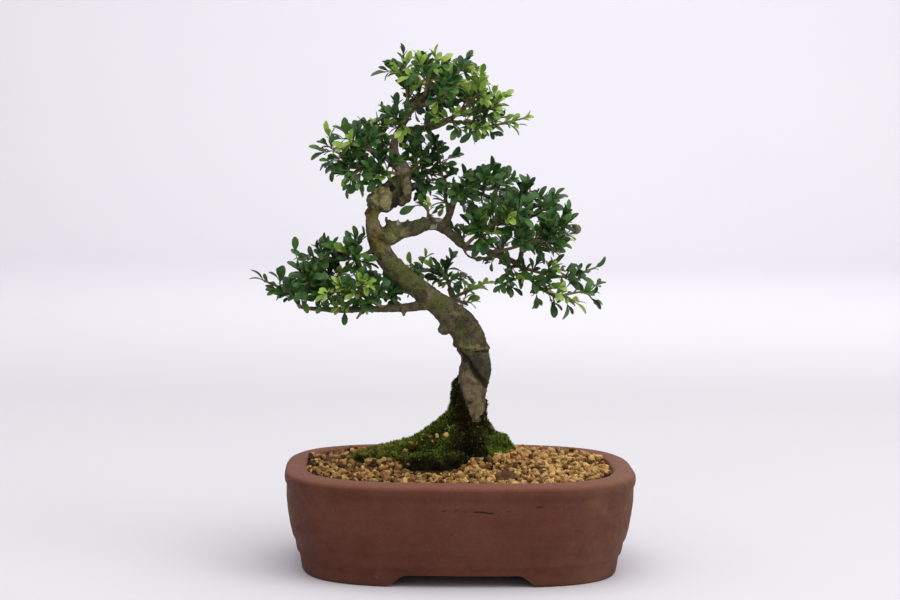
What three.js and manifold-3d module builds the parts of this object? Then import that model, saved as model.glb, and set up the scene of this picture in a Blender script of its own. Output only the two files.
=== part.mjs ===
// A japanese holly bonsai in its stoneware pot. Millimetres, +Z up, front towards -Y.
// The origin is on the surface the pot stands on, under the middle of the whole outline.

import * as THREE from 'three';
import { mergeVertices } from 'three/addons/utils/BufferGeometryUtils.js';
import Module from 'manifold-3d';

const wasm = await Module();
wasm.setup();

// Driving dimensions
const potAxisX = 9.5; // the crown leans to the left, so the pot stands to the right of the middle
const rimHalfWidth = 103;
const rimHalfDepth = 80;
const potHeight = 60;
const planExponent = 3.1; // roundness of the pot's outline: 2 is an ellipse, more is squarer
const potSides = 36;
const footHeight = 5.5;
const floorTop = 12.5;
const footCutWidth = 82;
const drainHoleRadius = 9;
const drainHoleX = 42; // the pot's axis to each drain hole
const seatGap = 0.3; // between pieces that touch
const soilEdge = 57.5; // height of the soil beside the lip
const soilRise = 6; // how much higher it is heaped at the trunk
const grainHeight = 1.1; // relief of the granules
const soilCells = 14; // facets of the soil's top from front to back
const leafLength = 8.2;
const leafWidth = 4.6;
const leafThickness = 0.65;
const leafSpacing = 1.8; // along the leafy end of a twig
const leavesOnTwig = 1.6; // and one more for every 9 mm of its length
const twigRadius = 0.8;
const stemRadius = 1.1;
const thinLimbFlat = 0.72; // how far out the flats of a four-sided limb lie, over its radius
const leafArch = 0.09; // rise of a blade's middle over its length
const meetingSlack = 0.02; // faces that share a corner meet this close to it
const berryRadius = 2.9;

// Where the trunk stands in the pot, from the pot's axis
const trunkFoot = new THREE.Vector2(6, 9);

// The middle of the berry, from the pot's axis, and the spray that it hangs on
const berryPlace = [67, -14, 201];
const berrySpray = 'right_spray_06';
const stalkFraction = 0.6; // along the spray's leading twig

// Seeded random numbers from 0 to 1
function makeRandom(seed) {
  let state = seed;
  return () => {
    state = (state + 0x6d2b79f5) | 0;
    let mixed = Math.imul(state ^ (state >>> 15), 1 | state);
    mixed = (mixed + Math.imul(mixed ^ (mixed >>> 7), 61 | mixed)) ^ mixed;
    return ((mixed ^ (mixed >>> 14)) >>> 0) / 4294967296;
  };
}

function vec(point) {
  return new THREE.Vector3(point[0], point[1], point[2]);
}

function toSolid(geometry) {
  const bare = geometry.clone();
  bare.deleteAttribute('normal');
  bare.deleteAttribute('uv');
  const merged = mergeVertices(bare, 1e-4);
  return new wasm.Manifold(new wasm.Mesh({
    numProp: 3,
    vertProperties: new Float32Array(merged.attributes.position.array),
    triVerts: new Uint32Array(merged.index.array),
  }));
}

function toGeometry(solid) {
  const mesh = solid.getMesh();
  const geometry = new THREE.BufferGeometry();
  geometry.setAttribute('position', new THREE.BufferAttribute(new Float32Array(mesh.vertProperties), 3));
  geometry.setIndex(new THREE.BufferAttribute(new Uint32Array(mesh.triVerts), 1));
  geometry.computeVertexNormals();
  return geometry;
}

// A cut can leave crumbs behind: only the biggest body is the piece
function biggestBody(solid) {
  const bodies = solid.decompose();
  bodies.sort((a, b) => b.volume() - a.volume());
  return bodies[0];
}

// Pot outline

// The half depth that goes with a half width, the same wall thickness all round
function depthFor(halfWidth) {
  const lessDeep = rimHalfWidth - rimHalfDepth;
  return halfWidth - lessDeep * Math.min(1, halfWidth / 60);
}

function bendToPlan(geometry) {
  const position = geometry.attributes.position;
  const power = 2 / planExponent;
  for (let i = 0; i < position.count; i++) {
    const x = position.getX(i);
    const height = position.getY(i);
    const y = -position.getZ(i);
    const reach = Math.hypot(x, y);
    const cosine = reach > 0 ? x / reach : 0;
    const sine = reach > 0 ? y / reach : 0;
    const planX = reach * Math.sign(cosine) * Math.abs(cosine) ** power;
    const planY = depthFor(reach) * Math.sign(sine) * Math.abs(sine) ** power;
    position.setXYZ(i, planX, planY, height);
  }
  return geometry;
}

// Profile points are [half width, height], from the inside of the foot outwards and up
const outerProfile = [
  [82, 0], [91, 0], [94.6, 10.2], [95.6, 12], [98.2, 22.5], [100.3, 30], [101.7, 50.5], [102.8, 52.5],
  [103, 57], [102.2, 59.2], [100, potHeight],
];
const innerProfile = [
  [91, potHeight], [89.5, 58.8], [89.5, 55], [92.5, 50], [90, 22], [80, floorTop],
];

function makePot() {
  const profile = [[0, footHeight], [82, footHeight], ...outerProfile, ...innerProfile, [0, floorTop]];
  const points = profile.map(([reach, height]) => new THREE.Vector2(reach, height));
  points.push(points[0].clone());
  let pot = toSolid(bendToPlan(new THREE.LatheGeometry(points, potSides)));

  // The low opening between the two end feet, front and back, with swept ends
  const half = footCutWidth / 2;
  const cut = new THREE.Shape();
  cut.moveTo(-half, -1);
  cut.lineTo(-half, 0);
  cut.bezierCurveTo(-half + 5, 0.6, -half + 3, footHeight - 0.4, -half + 10, footHeight + 0.01);
  cut.lineTo(half - 10, footHeight + 0.01);
  cut.bezierCurveTo(half - 3, footHeight - 0.4, half - 5, 0.6, half, 0);
  cut.lineTo(half, -1);
  const cutter = new THREE.ExtrudeGeometry(cut, { depth: 200, bevelEnabled: false, curveSegments: 5 });
  cutter.rotateX(Math.PI / 2);
  cutter.translate(0, 100, 0);
  pot = pot.subtract(toSolid(cutter));

  for (const side of [-1, 1]) {
    const hole = new THREE.CylinderGeometry(drainHoleRadius, drainHoleRadius, 20, 14);
    hole.rotateX(Math.PI / 2);
    hole.translate(side * drainHoleX, 0, floorTop);
    pot = pot.subtract(toSolid(hole));
  }
  return biggestBody(pot);
}

// A square plastic screen over each drain hole, under the soil
const screenSide = 30;
const screenThickness = 1;
const screenMeshes = 3; // openings along each side

function makeScreen(side) {
  const sheet = new THREE.BoxGeometry(screenSide, screenSide, screenThickness);
  sheet.translate(side * drainHoleX, 0, floorTop + seatGap + screenThickness / 2);
  let screen = toSolid(sheet);
  const pitch = screenSide / (screenMeshes + 0.5);
  for (let column = 0; column < screenMeshes; column++) {
    for (let row = 0; row < screenMeshes; row++) {
      const opening = new THREE.BoxGeometry(pitch * 0.7, pitch * 0.7, 10);
      const x = (column - (screenMeshes - 1) / 2) * pitch;
      const y = (row - (screenMeshes - 1) / 2) * pitch;
      opening.translate(side * drainHoleX + x, y, floorTop);
      screen = screen.subtract(toSolid(opening));
    }
  }
  return screen;
}

// Wood

// Points are [x, y, z, radius] from the pot's axis; the trunk runs from inside the soil to the top
const trunk = [
  [6, 9, 46, 12], [6, 9, 64, 13], [6, 9, 73, 11.5], [6, 9, 82, 9.8], [7, 8, 92, 9.2], [8, 7, 102, 9.2],
  [9, 6, 112, 9.3], [9.5, 5, 120, 8.6], [9, 4, 124, 8.6], [7.5, 3, 131, 9.6], [3, 1, 141, 9.8],
  [-6, -1, 152, 9.2], [-15, -3, 160, 8.3], [-26, -4, 168, 7.7], [-37, -4, 176, 7.2], [-44, -3, 183, 6.3],
  [-49, -2, 190, 6], [-51, -1, 198, 4.9], [-52, 0, 206, 4.2], [-51, 0, 212, 5.4], [-47, 1, 218, 7.2],
  [-39, 3, 224, 5.6], [-34, 4, 229, 5.2], [-35, 4, 236, 4], [-39, 3, 241, 3.2], [-40, 2, 246, 2.8],
  [-39, 1, 252, 2.5], [-36, 1, 259, 2.4], [-32, 0, 267, 2.2], [-27, 0, 273, 1.9], [-22, -1, 278, 1.4],
];

const branches = {
  left: [[-13, -2, 160, 5], [-22, -5, 155, 3.3], [-32, -7, 153.5, 2.6], [-45, -9, 153, 2.1],
    [-58, -10, 152.5, 1.9], [-71, -10, 152, 1.8], [-86, -8, 152.5, 1.4], [-94, -7, 153, 1]],
  leftUpper: [[-48, -2, 188, 1.8], [-58, -3, 184, 1.3], [-68, -1, 181, 1.1]],
  right: [[-50, 0, 193, 5.5], [-43, -3, 195.5, 5.9], [-36, -4, 198.5, 4.9], [-27, -4, 200.5, 4.2],
    [-18, -3, 203, 4.1], [-12, -2, 201.5, 3.7], [-5, -2, 196, 3], [2, -4, 190, 2.2], [12, -6, 188, 1.9],
    [23, -6, 184.5, 1.9], [35, -6, 178.5, 1.8], [40, -6, 172, 1.3]],
  rightRising: [[-10, -2, 201, 2.6], [-6.5, 0, 209, 2.2], [-4, 2, 216, 2], [0, 4, 221.5, 1.6],
    [9, 7, 223.5, 1.3]],
  rightStem: [[34, -6, 179, 1.8], [36, -3, 188, 1.6], [35.5, 1, 196, 1.3]],
  back: [[-4, 0, 152, 3], [-3.5, 9, 157, 2.2], [-5.5, 16, 163, 1.8]],
  upperLeft: [[-35, 4, 232, 2.6], [-44, -3, 241, 1.9], [-52, -9, 245, 1.4]],
  apexRight: [[-38, 1, 256, 2.3], [-27, 2, 258, 2.1], [-17, 2, 259.5, 1.9], [-9, 0, 263, 1.7],
    [-2, -2, 268, 1.4]],
  apexFront: [[-29, 0, 271, 1.9], [-20, -4, 273, 1.5], [-14, -8, 276, 1.2]],
};

// Roots that spread from the foot of the trunk and dive into the soil
const roots = [
  [[2, 9, 86, 7], [-14, 7, 74, 6.3], [-33, 3, 65.5, 4.4], [-60, -5, 54, 2.4]],
  [[2, 6, 80, 7], [-8, -9, 66, 5.5], [-18, -24, 53, 3]],
  [[9, 9, 84, 6], [20, 6, 70, 5], [34, 2, 54, 2.6]],
  [[9, 5, 78, 6], [15, -7, 66, 4.5], [20, -18, 54, 2.8]],
  [[6, 13, 80, 7], [2, 24, 66, 5], [-4, 36, 53, 3]],
];

// Pruned stubs, knobs and the swollen burls halfway up, as [x, y, z, width, depth, height]
const stub = [[-41, -3, 199, 4.2], [-40, -3, 204, 3.4], [-38.5, -3, 207, 2.2]];
const undersideStub = [[-33, -7, 152, 1.3], [-33.5, -7.5, 148.5, 1]];
const burls = [
  [-48, 1, 217.5, 8.6, 7, 7.4],
  [-33.5, 3.5, 224, 4.9, 5.4, 12],
  [-12, -3, 150, 6, 6, 6],
];

function limbCurve(points) {
  return new THREE.CatmullRomCurve3(points.map(vec), false, 'centripetal');
}

// The point and radius a fraction of the way along a limb, counted by its points
function limbAt(points, fraction) {
  const place = limbCurve(points).getPoint(fraction);
  const span = fraction * (points.length - 1);
  const lower = Math.min(Math.floor(span), points.length - 2);
  const radius = THREE.MathUtils.lerp(points[lower][3], points[lower + 1][3], span - lower);
  return { place, radius };
}

// Directions along and across a limb at each ring, carried along it without twisting
function limbFrames(points, stations) {
  const curve = limbCurve(points);
  let normal = new THREE.Vector3(0.1, 1, 0.05);
  return stations.map((station) => {
    const tangent = curve.getTangent(station);
    normal = normal.clone().addScaledVector(tangent, -normal.dot(tangent)).normalize();
    const side = new THREE.Vector3().crossVectors(tangent, normal);
    return { tangent, normal, side, ...limbAt(points, station) };
  });
}

// A tapered limb: a cylinder laid along the curve. ridge(fraction, angle) adds folds to the bark
function limbGeometry(points, sides, rings, extra = 0, ridge = () => 0) {
  const frames = limbFrames(points, Array.from({ length: rings + 1 }, (unused, ring) => ring / rings));
  const geometry = new THREE.CylinderGeometry(1, 1, 1, sides, rings);
  const position = geometry.attributes.position;
  for (let i = 0; i < position.count; i++) {
    const ring = Math.round((position.getY(i) + 0.5) * rings);
    const { tangent, normal, side, place, radius } = frames[ring];
    const angle = Math.atan2(position.getZ(i), position.getX(i));
    const onRim = Math.hypot(position.getX(i), position.getZ(i));
    const reach = onRim * (radius * (1 + ridge(ring / rings, angle)) + extra);
    const corner = place.clone().addScaledVector(side, reach * Math.cos(angle));
    corner.addScaledVector(normal, reach * Math.sin(angle));
    if (ring === 0) corner.addScaledVector(tangent, -extra);
    if (ring === rings) corner.addScaledVector(tangent, extra);
    position.setXYZ(i, corner.x, corner.y, corner.z);
  }
  return geometry;
}

// The trunk's bark stands in a few twisting folds that fade out towards the top
function trunkRidge(fraction, angle) {
  const fade = Math.max(0, 1 - fraction * 1.1);
  const twist = fraction * 9;
  return fade * (0.07 * Math.cos(2 * angle + twist) + 0.06 * Math.cos(3 * angle - twist * 1.7 + 1));
}

// All the wood as one solid, or the same grown by extra all over
function makeWood(extra) {
  let wood = toSolid(limbGeometry(trunk, 9, 35, extra, trunkRidge));
  const join = (points, sides, perSpan) => {
    wood = wood.add(toSolid(limbGeometry(points, sides, Math.round((points.length - 1) * perSpan), extra)));
  };
  for (const [name, points] of Object.entries(branches)) {
    const isMain = name === 'left' || name === 'right';
    join(points, isMain ? 6 : 4, isMain ? 1.5 : 1);
  }
  roots.forEach((points) => join(points, 5, 1));
  join(stub, 6, 1);
  join(undersideStub, 4, 1);
  for (const [x, y, z, width, depth, height] of burls) {
    const burl = new THREE.SphereGeometry(1, 8, 6);
    burl.scale(width + extra, depth + extra, height + extra);
    burl.translate(x, y, z);
    wood = wood.add(toSolid(burl));
  }
  return biggestBody(wood);
}

// Soil

function grainNoise(x, y) {
  const wave = Math.sin(x * 12.9898 + y * 78.233) * 43758.5453;
  return (wave - Math.floor(wave)) * 2 - 1;
}

// The moss lies in this oval, where the soil is smooth
const mossMiddle = new THREE.Vector2(-13, 0);
const mossReach = new THREE.Vector2(52, 30);

function soilHeight(x, y) {
  const fromTrunk = Math.hypot(x - trunkFoot.x, y - trunkFoot.y);
  const heap = soilRise * Math.exp(-((fromTrunk / 42) ** 2));
  const fromMoss = Math.hypot((x - mossMiddle.x) / mossReach.x, (y - mossMiddle.y) / mossReach.y);
  const grains = fromMoss < 1.08 ? 0 : grainNoise(x, y) * grainHeight;
  return soilEdge + heap + 0.8 * Math.sin(x / 17) * Math.cos(y / 13) + grains;
}

// The soil is the space inside the pot under a granular top
function makeSoilBlock() {
  const wall = innerProfile.slice(2).map(([reach, height]) => new THREE.Vector2(reach - seatGap, height));
  const lip = wall[0];
  const shoulder = wall[1];
  const floor = wall[wall.length - 1];
  shoulder.y -= seatGap;
  floor.y += seatGap;
  const brim = new THREE.Vector2(lip.x, 80);
  const plugProfile = [new THREE.Vector2(0, 80), brim, ...wall, new THREE.Vector2(0, floor.y)];
  plugProfile.push(plugProfile[0].clone());
  plugProfile.reverse();
  const plug = toSolid(bendToPlan(new THREE.LatheGeometry(plugProfile, potSides)));

  const field = new THREE.BoxGeometry(200, 150, 60, soilCells * 4 / 3, soilCells, 1);
  const position = field.attributes.position;
  for (let i = 0; i < position.count; i++) {
    if (position.getZ(i) > 0) position.setZ(i, soilHeight(position.getX(i), position.getY(i)));
  }
  return biggestBody(plug.intersect(toSolid(field)));
}

// Moss

// Cushions of moss over the surface roots and up the left of the trunk: middle, width, depth and height
const cushions = [
  [2, 9, 74, 15, 14, 20], [-15, 6, 65, 17, 13, 14], [-38, 1, 59, 23, 13, 10], [-14, -10, 58, 24, 15, 10],
  [19, 6, 62, 17, 13, 17], [0, 22, 58, 24, 16, 11],
];

function makeMoss(woodGrown, soilBlock) {
  let moss = null;
  for (const [x, y, z, width, depth, height] of cushions) {
    const cushion = new THREE.SphereGeometry(1, 8, 5);
    cushion.rotateX(Math.PI / 2);
    cushion.scale(width, depth, height);
    cushion.translate(x, y, z);
    moss = moss === null ? toSolid(cushion) : moss.add(toSolid(cushion));
  }
  moss = moss.subtract(woodGrown).subtract(soilBlock.translate(0, 0, seatGap));
  return biggestBody(moss);
}

// Foliage

// A spray leaves its limb part of the way along, follows its stem, and forks to its tips. A tip is
// [fraction along the stem, [x, y, z]], where its outermost leaf ends.
const sprays = {
  left_spray_01: { limb: 'left', at: 1, stem: [[-97, -9, 158], [-102, -11, 163]],
    tips: [[1, [-121, -12, 172]], [0.6, [-106, -22, 158]], [0.5, [-101, 4, 160]]] },
  left_spray_02: { limb: 'left', at: 0.72, stem: [[-79, -14, 162], [-86, -18, 169]],
    tips: [[1, [-98, -22, 179]], [1, [-94, -33, 168]], [0.5, [-77, -30, 166]]] },
  left_spray_03: { limb: 'left', at: 0.68, stem: [[-71, -5, 160], [-74, 3, 167], [-77, 6, 175]],
    tips: [[1, [-84, 8, 189]], [1, [-69, 2, 191]], [0.7, [-93, 15, 171]], [0.5, [-71, 20, 173]]] },
  left_spray_04: { limb: 'leftUpper', at: 1, stem: [[-79, 0, 181]],
    tips: [[1, [-99, 2, 182]], [0.3, [-80, -13, 190]], [0.6, [-91, -11, 175]]] },
  left_spray_05: { limb: 'leftUpper', at: 0.6, stem: [], tips: [[0, [-63, -7, 199]]] },
  left_spray_06: { limb: 'left', at: 0.42, stem: [[-54, -16, 159], [-61, -22, 164]],
    tips: [[1, [-75, -33, 169]], [1, [-57, -35, 174]], [0.5, [-50, -28, 155]]] },
  left_spray_07: { limb: 'left', at: 0.3, stem: [[-41, 4, 158], [-47, 13, 162]],
    tips: [[1, [-58, 24, 173]], [1, [-36, 24, 166]], [0.5, [-31, 11, 170]]] },
  left_spray_08: { limb: 'left', at: 0.56, stem: [], tips: [[0, [-63, 4, 143]]] },
  upper_spray_01: { limb: 'upperLeft', at: 1, stem: [[-60, -13, 248]],
    tips: [[1, [-75, -18, 260]], [1, [-78, -25, 248]], [0.4, [-58, -27, 256]]] },
  upper_spray_02: { limb: 'upperLeft', at: 0.6, stem: [], tips: [[0, [-57, -15, 263]]] },
  upper_spray_03: { limb: 'trunk', at: 0.835, stem: [[-48, 9, 246], [-54, 16, 251]],
    tips: [[1, [-68, 24, 258]], [1, [-52, 25, 264]], [0.4, [-47, 6, 266]], [0.7, [-60, 30, 245]]] },
  upper_spray_04: { limb: 'trunk', at: 0.745, stem: [[-44, -8, 233], [-57, -12, 235]],
    tips: [[1, [-82, -12, 237]], [1, [-69, -25, 229]], [0.6, [-50, -24, 228]], [0.7, [-64, 3, 241]]] },
  middle_spray_01: { limb: 'trunk', at: 0.765, stem: [[-27, 11, 235], [-19, 16, 237]],
    tips: [[1, [-5, 20, 245]], [1, [-18, 27, 250]], [0.6, [-21, 22, 222]], [0.5, [-20, 2, 246]]] },
  middle_spray_02: { limb: 'right', at: 0.35, stem: [], tips: [[0, [-20, -10, 219]]] },
  apex_spray_01: { limb: 'trunk', at: 0.93, stem: [[-32, 5, 276], [-33, 6, 285]],
    tips: [[1, [-36, 6, 310]], [1, [-46, 10, 296]], [0.4, [-42, -8, 286]], [0.6, [-30, 20, 292]]] },
  apex_spray_02: { limb: 'trunk', at: 1, stem: [[-20.5, -5, 286], [-19.5, -6, 292]],
    tips: [[1, [-19, -5, 309]], [0.5, [-30, -21, 293]], [0.3, [-14, 9, 291]]] },
  apex_spray_03: { limb: 'trunk', at: 0.98, stem: [[-21, 10, 277], [-14, 18, 281]],
    tips: [[1, [-5, 14, 301]], [1, [-11, 32, 292]], [0.4, [-30, 23, 277]]] },
  apex_spray_04: { limb: 'apexFront', at: 1, stem: [[-8, -11, 281]],
    tips: [[1, [1, -8, 298]], [1, [-9, -28, 287]], [0.3, [-19, -23, 275]]] },
  apex_spray_05: { limb: 'apexRight', at: 1, stem: [[4, -2, 274]],
    tips: [[1, [13, 1, 295]], [1, [13, -17, 283]], [0.3, [4, 14, 277]]] },
  apex_spray_06: { limb: 'apexRight', at: 0.93, stem: [[7, 2, 268], [16, 2, 271]],
    tips: [[1, [29, 2, 280]], [0.6, [24, -12, 270]], [0.5, [14, 18, 264]]] },
  apex_spray_07: { limb: 'apexRight', at: 0.75, stem: [[2, 0, 262], [13, 0, 260]],
    tips: [[1, [41, 0, 266]], [0.5, [15, -15, 258]], [0.2, [-4, -15, 256]]] },
  apex_spray_08: { limb: 'apexRight', at: 0.4, stem: [], tips: [[0, [-22, -14, 262]]] },
  right_spray_01: { limb: 'rightRising', at: 1, stem: [[19, 9, 223.5]],
    tips: [[1, [24, 12, 240]], [1, [33, -2, 230]], [0.5, [14, -14, 231]], [0.4, [7, 24, 231]]] },
  right_spray_02: { limb: 'rightRising', at: 0.62, stem: [],
    tips: [[0, [2, -6, 235]]] },
  right_spray_03: { limb: 'rightRising', at: 0.9, stem: [[18, 17, 218], [36, 21, 215]],
    tips: [[1, [46, 13, 230]], [1, [54, 28, 222]], [0.6, [27, 35, 212]], [0.3, [14, 30, 211]]] },
  right_spray_04: { limb: 'right', at: 0.64, stem: [[8, -12, 196], [16, -19, 202], [24, -24, 207]],
    tips: [[1, [27, -39, 218]], [1, [39, -33, 214]], [0.5, [6, -29, 208]], [0.4, [15, -31, 192]],
      [0.8, [17, -14, 217]]] },
  right_spray_05: { limb: 'rightStem', at: 1, stem: [[38, 5, 204]],
    tips: [[1, [55, 1, 216]], [1, [60, 14, 219]], [0.4, [36, 30, 205]], [0.8, [27, 2, 214]]] },
  right_spray_06: { limb: 'right', at: 0.78, stem: [[31, -13, 190], [41, -18, 194], [49, -21, 198]],
    tips: [[1, [53, -32, 213]], [1, [66, -17, 206]], [0.6, [63, -26, 193]], [0.4, [32, -33, 198]]] },
  right_spray_07: { limb: 'right', at: 0.62, stem: [], tips: [[0, [3, 14, 199]]] },
  right_spray_08: { limb: 'rightStem', at: 0.45, stem: [[45, 5, 190], [52, 7, 191]],
    tips: [[1, [66, 7, 194]], [0.6, [51, 24, 189]], [1, [62, -6, 202]]] },
  right_spray_09: { limb: 'right', at: 0.92, stem: [[46, 0, 174.5], [56, 3, 172], [65, 4, 172]],
    tips: [[1, [85, 4, 177]], [0.5, [56, -13, 181]], [0.6, [63, 20, 176]], [1, [79, 9, 166]]] },
  right_spray_10: { limb: 'right', at: 1, stem: [[46, -8, 166.5], [55, -10, 162]],
    tips: [[1, [78, -12, 165]], [1, [72, -14, 154]], [0.4, [39, -17, 159]], [0.7, [60, -25, 168]]] },
  right_spray_11: { limb: 'right', at: 0.86, stem: [], tips: [[0, [25, -18, 170]]] },
  right_spray_12: { limb: 'right', at: 0.83, stem: [], tips: [[0, [25, 14, 193]]] },
  back_spray_01: { limb: 'back', at: 1, stem: [[-8, 21, 169]],
    tips: [[1, [-30, 25, 179]], [1, [-10, 24, 182]], [0.5, [9, 30, 172]]] },
  back_spray_02: { limb: 'back', at: 0.6, stem: [], tips: [[0, [20, 20, 168]]] },
  back_spray_03: { limb: 'back', at: 0.45, stem: [], tips: [[0, [12, 17, 154]]] },
};

// What is already in place, as balls that a new leaf or twig keeps clear of
const taken = [];

function fill(points, radius, owner) {
  points.forEach((place) => taken.push({ place, radius, owner }));
}

function isFree(points, radius, owner, clearance) {
  return points.every((place) => taken.every((ball) => {
    const needed = radius + ball.radius + (ball.owner === owner ? 0 : clearance);
    return ball.place.distanceToSquared(place) > needed * needed;
  }));
}

function directionNear(direction, spread, random) {
  const turned = new THREE.Vector3(random() - 0.5, random() - 0.5, random() - 0.5);
  return direction.clone().addScaledVector(turned, 2 * spread).normalize();
}

// The directions of a blade: along its rib, across it, and out of its upper face
function bladeFrame({ along, up }) {
  const across = new THREE.Vector3().crossVectors(along, up).normalize();
  const face = new THREE.Vector3().crossVectors(across, along).normalize();
  return { across, face };
}

// The four corners of a blade's section: how far out, how wide and how high it is there
function bladeSection(leaf, forward, breadth, rise) {
  const { across, face } = bladeFrame(leaf);
  const middle = leaf.root.clone().addScaledVector(leaf.along, forward * leaf.length);
  middle.addScaledVector(face, rise * leaf.length);
  return [[1, 1], [1, -1], [-1, -1], [-1, 1]].map(([right, above]) => middle.clone()
    .addScaledVector(across, right * breadth * leaf.width / 2)
    .addScaledVector(face, above * leafThickness / 2));
}

function bladeSamples(leaf) {
  const { across } = bladeFrame(leaf);
  const spots = [[0.3, 0], [0.52, -0.28], [0.52, 0.28], [0.8, -0.28], [0.8, 0.28], [0.95, 0]];
  return spots.map(([forward, sideways]) => leaf.root.clone()
    .addScaledVector(leaf.along, forward * leaf.length)
    .addScaledVector(across, sideways * leaf.width));
}

const upwards = new THREE.Vector3(0, 0, 1);

function twigSamples(points, from) {
  const curve = limbCurve(points);
  const samples = [];
  const steps = 8;
  for (let step = 0; step <= steps; step++) {
    const place = curve.getPoint(step / steps);
    if (place.distanceTo(vec(points[0])) > from) samples.push(place);
  }
  return samples;
}

// The rest of a twig from its start to its end, bowed, redrawn until it keeps clear of everything else
function growTwig(start, end, owner, random, rootClear) {
  const reach = start.distanceTo(end);
  let twig = null;
  for (let attempt = 0; attempt < 14; attempt++) {
    const middle = start.clone().lerp(end, 0.5);
    middle.z += reach * 0.08;
    middle.addScaledVector(directionNear(new THREE.Vector3(), 1, random), reach * (0.04 + 0.01 * attempt));
    twig = [[...middle.toArray(), twigRadius], [...end.toArray(), twigRadius * 0.9]];
    if (isFree(twigSamples([start.toArray(), ...twig], rootClear), 0.8, owner, 1)) return twig;
  }
  return twig;
}

// Whether an edge of the first faces passes through one of the others
function cutsThrough(faces, others) {
  const ray = new THREE.Ray();
  const hit = new THREE.Vector3();
  return faces.some((face) => face.some((from, i) => {
    const to = face[(i + 1) % 3];
    const reach = from.distanceTo(to);
    ray.set(from, to.clone().sub(from).normalize());
    return others.some(([a, b, c]) => {
      if (ray.intersectTriangle(a, b, c, false, hit) === null) return false;
      const along = hit.distanceTo(from);
      return along > meetingSlack && along < reach - meetingSlack;
    });
  }));
}

// The faces of a band between two loops of four corners
function bandFaces(loop, next) {
  return loop.flatMap((a, i) => {
    const after = (i + 1) % 4;
    return [[a, loop[after], next[after]], [a, next[after], next[i]]];
  });
}

// Leaves turn their faces to the light. Returns null where there is no room for one.
function findLeaf(root, tangent, outward, spread, owner, random, suits) {
  for (let attempt = 0; attempt < 14; attempt++) {
    const lean = spread * (0.8 + 0.5 * random());
    const along = tangent.clone().multiplyScalar(Math.cos(lean)).addScaledVector(outward, Math.sin(lean));
    const up = directionNear(upwards, 0.4, random);
    if (Math.abs(up.dot(along)) > 0.85) up.copy(tangent);
    const length = leafLength * (0.82 + 0.3 * random());
    const leaf = { root, along, up, length, width: leafWidth * (0.85 + 0.25 * random()) };
    if (isFree(bladeSamples(leaf), 0.95, owner, 0.35) && suits(leaf)) return leaf;
  }
  return null;
}

// A three-sided twig whose leaves open out of its sides, so that twig and leaves are one skin. Each
// stretch past the bare ones carries a leaf, on the next side round.
function leafyTwigGeometry(points, owner, random) {
  const { stations, bare } = leafStations(points);
  const frames = limbFrames(points, stations);
  const phase = random() * 6;
  const corners = [];
  const index = [];
  const addCorner = (corner) => corners.push(corner) - 1;
  const bridge = (loop, next) => loop.forEach((a, i) => {
    const after = (i + 1) % loop.length;
    index.push(a, loop[after], next[after], a, next[after], next[i]);
  });
  const rings = frames.map(({ place, radius, side, normal }, ring) => [0, 1, 2].map((corner) => {
    const angle = phase - corner * Math.PI * 2 / 3 - ring * 0.3;
    return addCorner(place.clone()
      .addScaledVector(side, radius * Math.cos(angle))
      .addScaledVector(normal, radius * Math.sin(angle)));
  }));
  index.push(rings[0][0], rings[0][2], rings[0][1]);
  const last = rings.length - 1;
  const skin = rings.slice(1).flatMap((ring, i) => [0, 1, 2].flatMap((corner) => {
    const beside = (corner + 1) % 3;
    const sideLoop = [rings[i][corner], rings[i][beside], ring[beside], ring[corner]];
    const [a, b, c, d] = sideLoop.map((at) => corners[at]);
    return [[a, b, c], [a, c, d]];
  }));
  for (let ring = 0; ring < last; ring++) {
    for (let corner = 0; corner < 3; corner++) {
      const beside = (corner + 1) % 3;
      const loop = [rings[ring][corner], rings[ring][beside], rings[ring + 1][beside], rings[ring + 1][corner]];
      let leaf = null;
      if (ring >= bare && corner === ring % 3) {
        const root = loop.reduce((sum, i) => sum.add(corners[i]), new THREE.Vector3()).divideScalar(4);
        const outward = root.clone().sub(frames[ring].place);
        outward.addScaledVector(frames[ring].tangent, -outward.dot(frames[ring].tangent)).normalize();
        const spread = ring === last - 1 ? 0.55 : 1.05;
        const rootCorners = loop.map((i) => corners[i]);
        const suits = (candidate) => {
          const faces = leafFaces(candidate, rootCorners);
          return !cutsThrough(faces, [...skin, ...faces]) && !cutsThrough(skin, faces);
        };
        leaf = findLeaf(root, frames[ring].tangent, outward, spread, owner, random, suits);
      }
      if (leaf === null) {
        index.push(loop[0], loop[1], loop[2], loop[0], loop[2], loop[3]);
        continue;
      }
      fill(bladeSamples(leaf), 0.95, owner);
      const [widest, tip] = leafSections(leaf, loop.map((i) => corners[i]));
      skin.push(...leafFaces(leaf, loop.map((i) => corners[i])));
      const widestLoop = widest.map(addCorner);
      const tipLoop = tip.map(addCorner);
      bridge(loop, widestLoop);
      bridge(widestLoop, tipLoop);
      index.push(tipLoop[0], tipLoop[1], tipLoop[2], tipLoop[0], tipLoop[2], tipLoop[3]);
    }
  }
  index.push(rings[last][0], rings[last][1], rings[last][2]);
  const geometry = new THREE.BufferGeometry();
  const numbers = corners.flatMap((corner) => corner.toArray());
  geometry.setAttribute('position', new THREE.Float32BufferAttribute(numbers, 3));
  geometry.setIndex(index);
  return geometry;
}

// A leaf's sections where it is widest and at its tip, with their corners in step with its root's
function leafSections(leaf, rootCorners) {
  const widest = turnToMatch(bladeSection(leaf, 0.6, 1, leafArch), rootCorners);
  return [widest, turnToMatch(bladeSection(leaf, 1, 0.42, 0), widest)];
}

function leafFaces(leaf, rootCorners) {
  const [widest, tip] = leafSections(leaf, rootCorners);
  return [...bandFaces(rootCorners, widest), ...bandFaces(widest, tip)];
}

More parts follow.
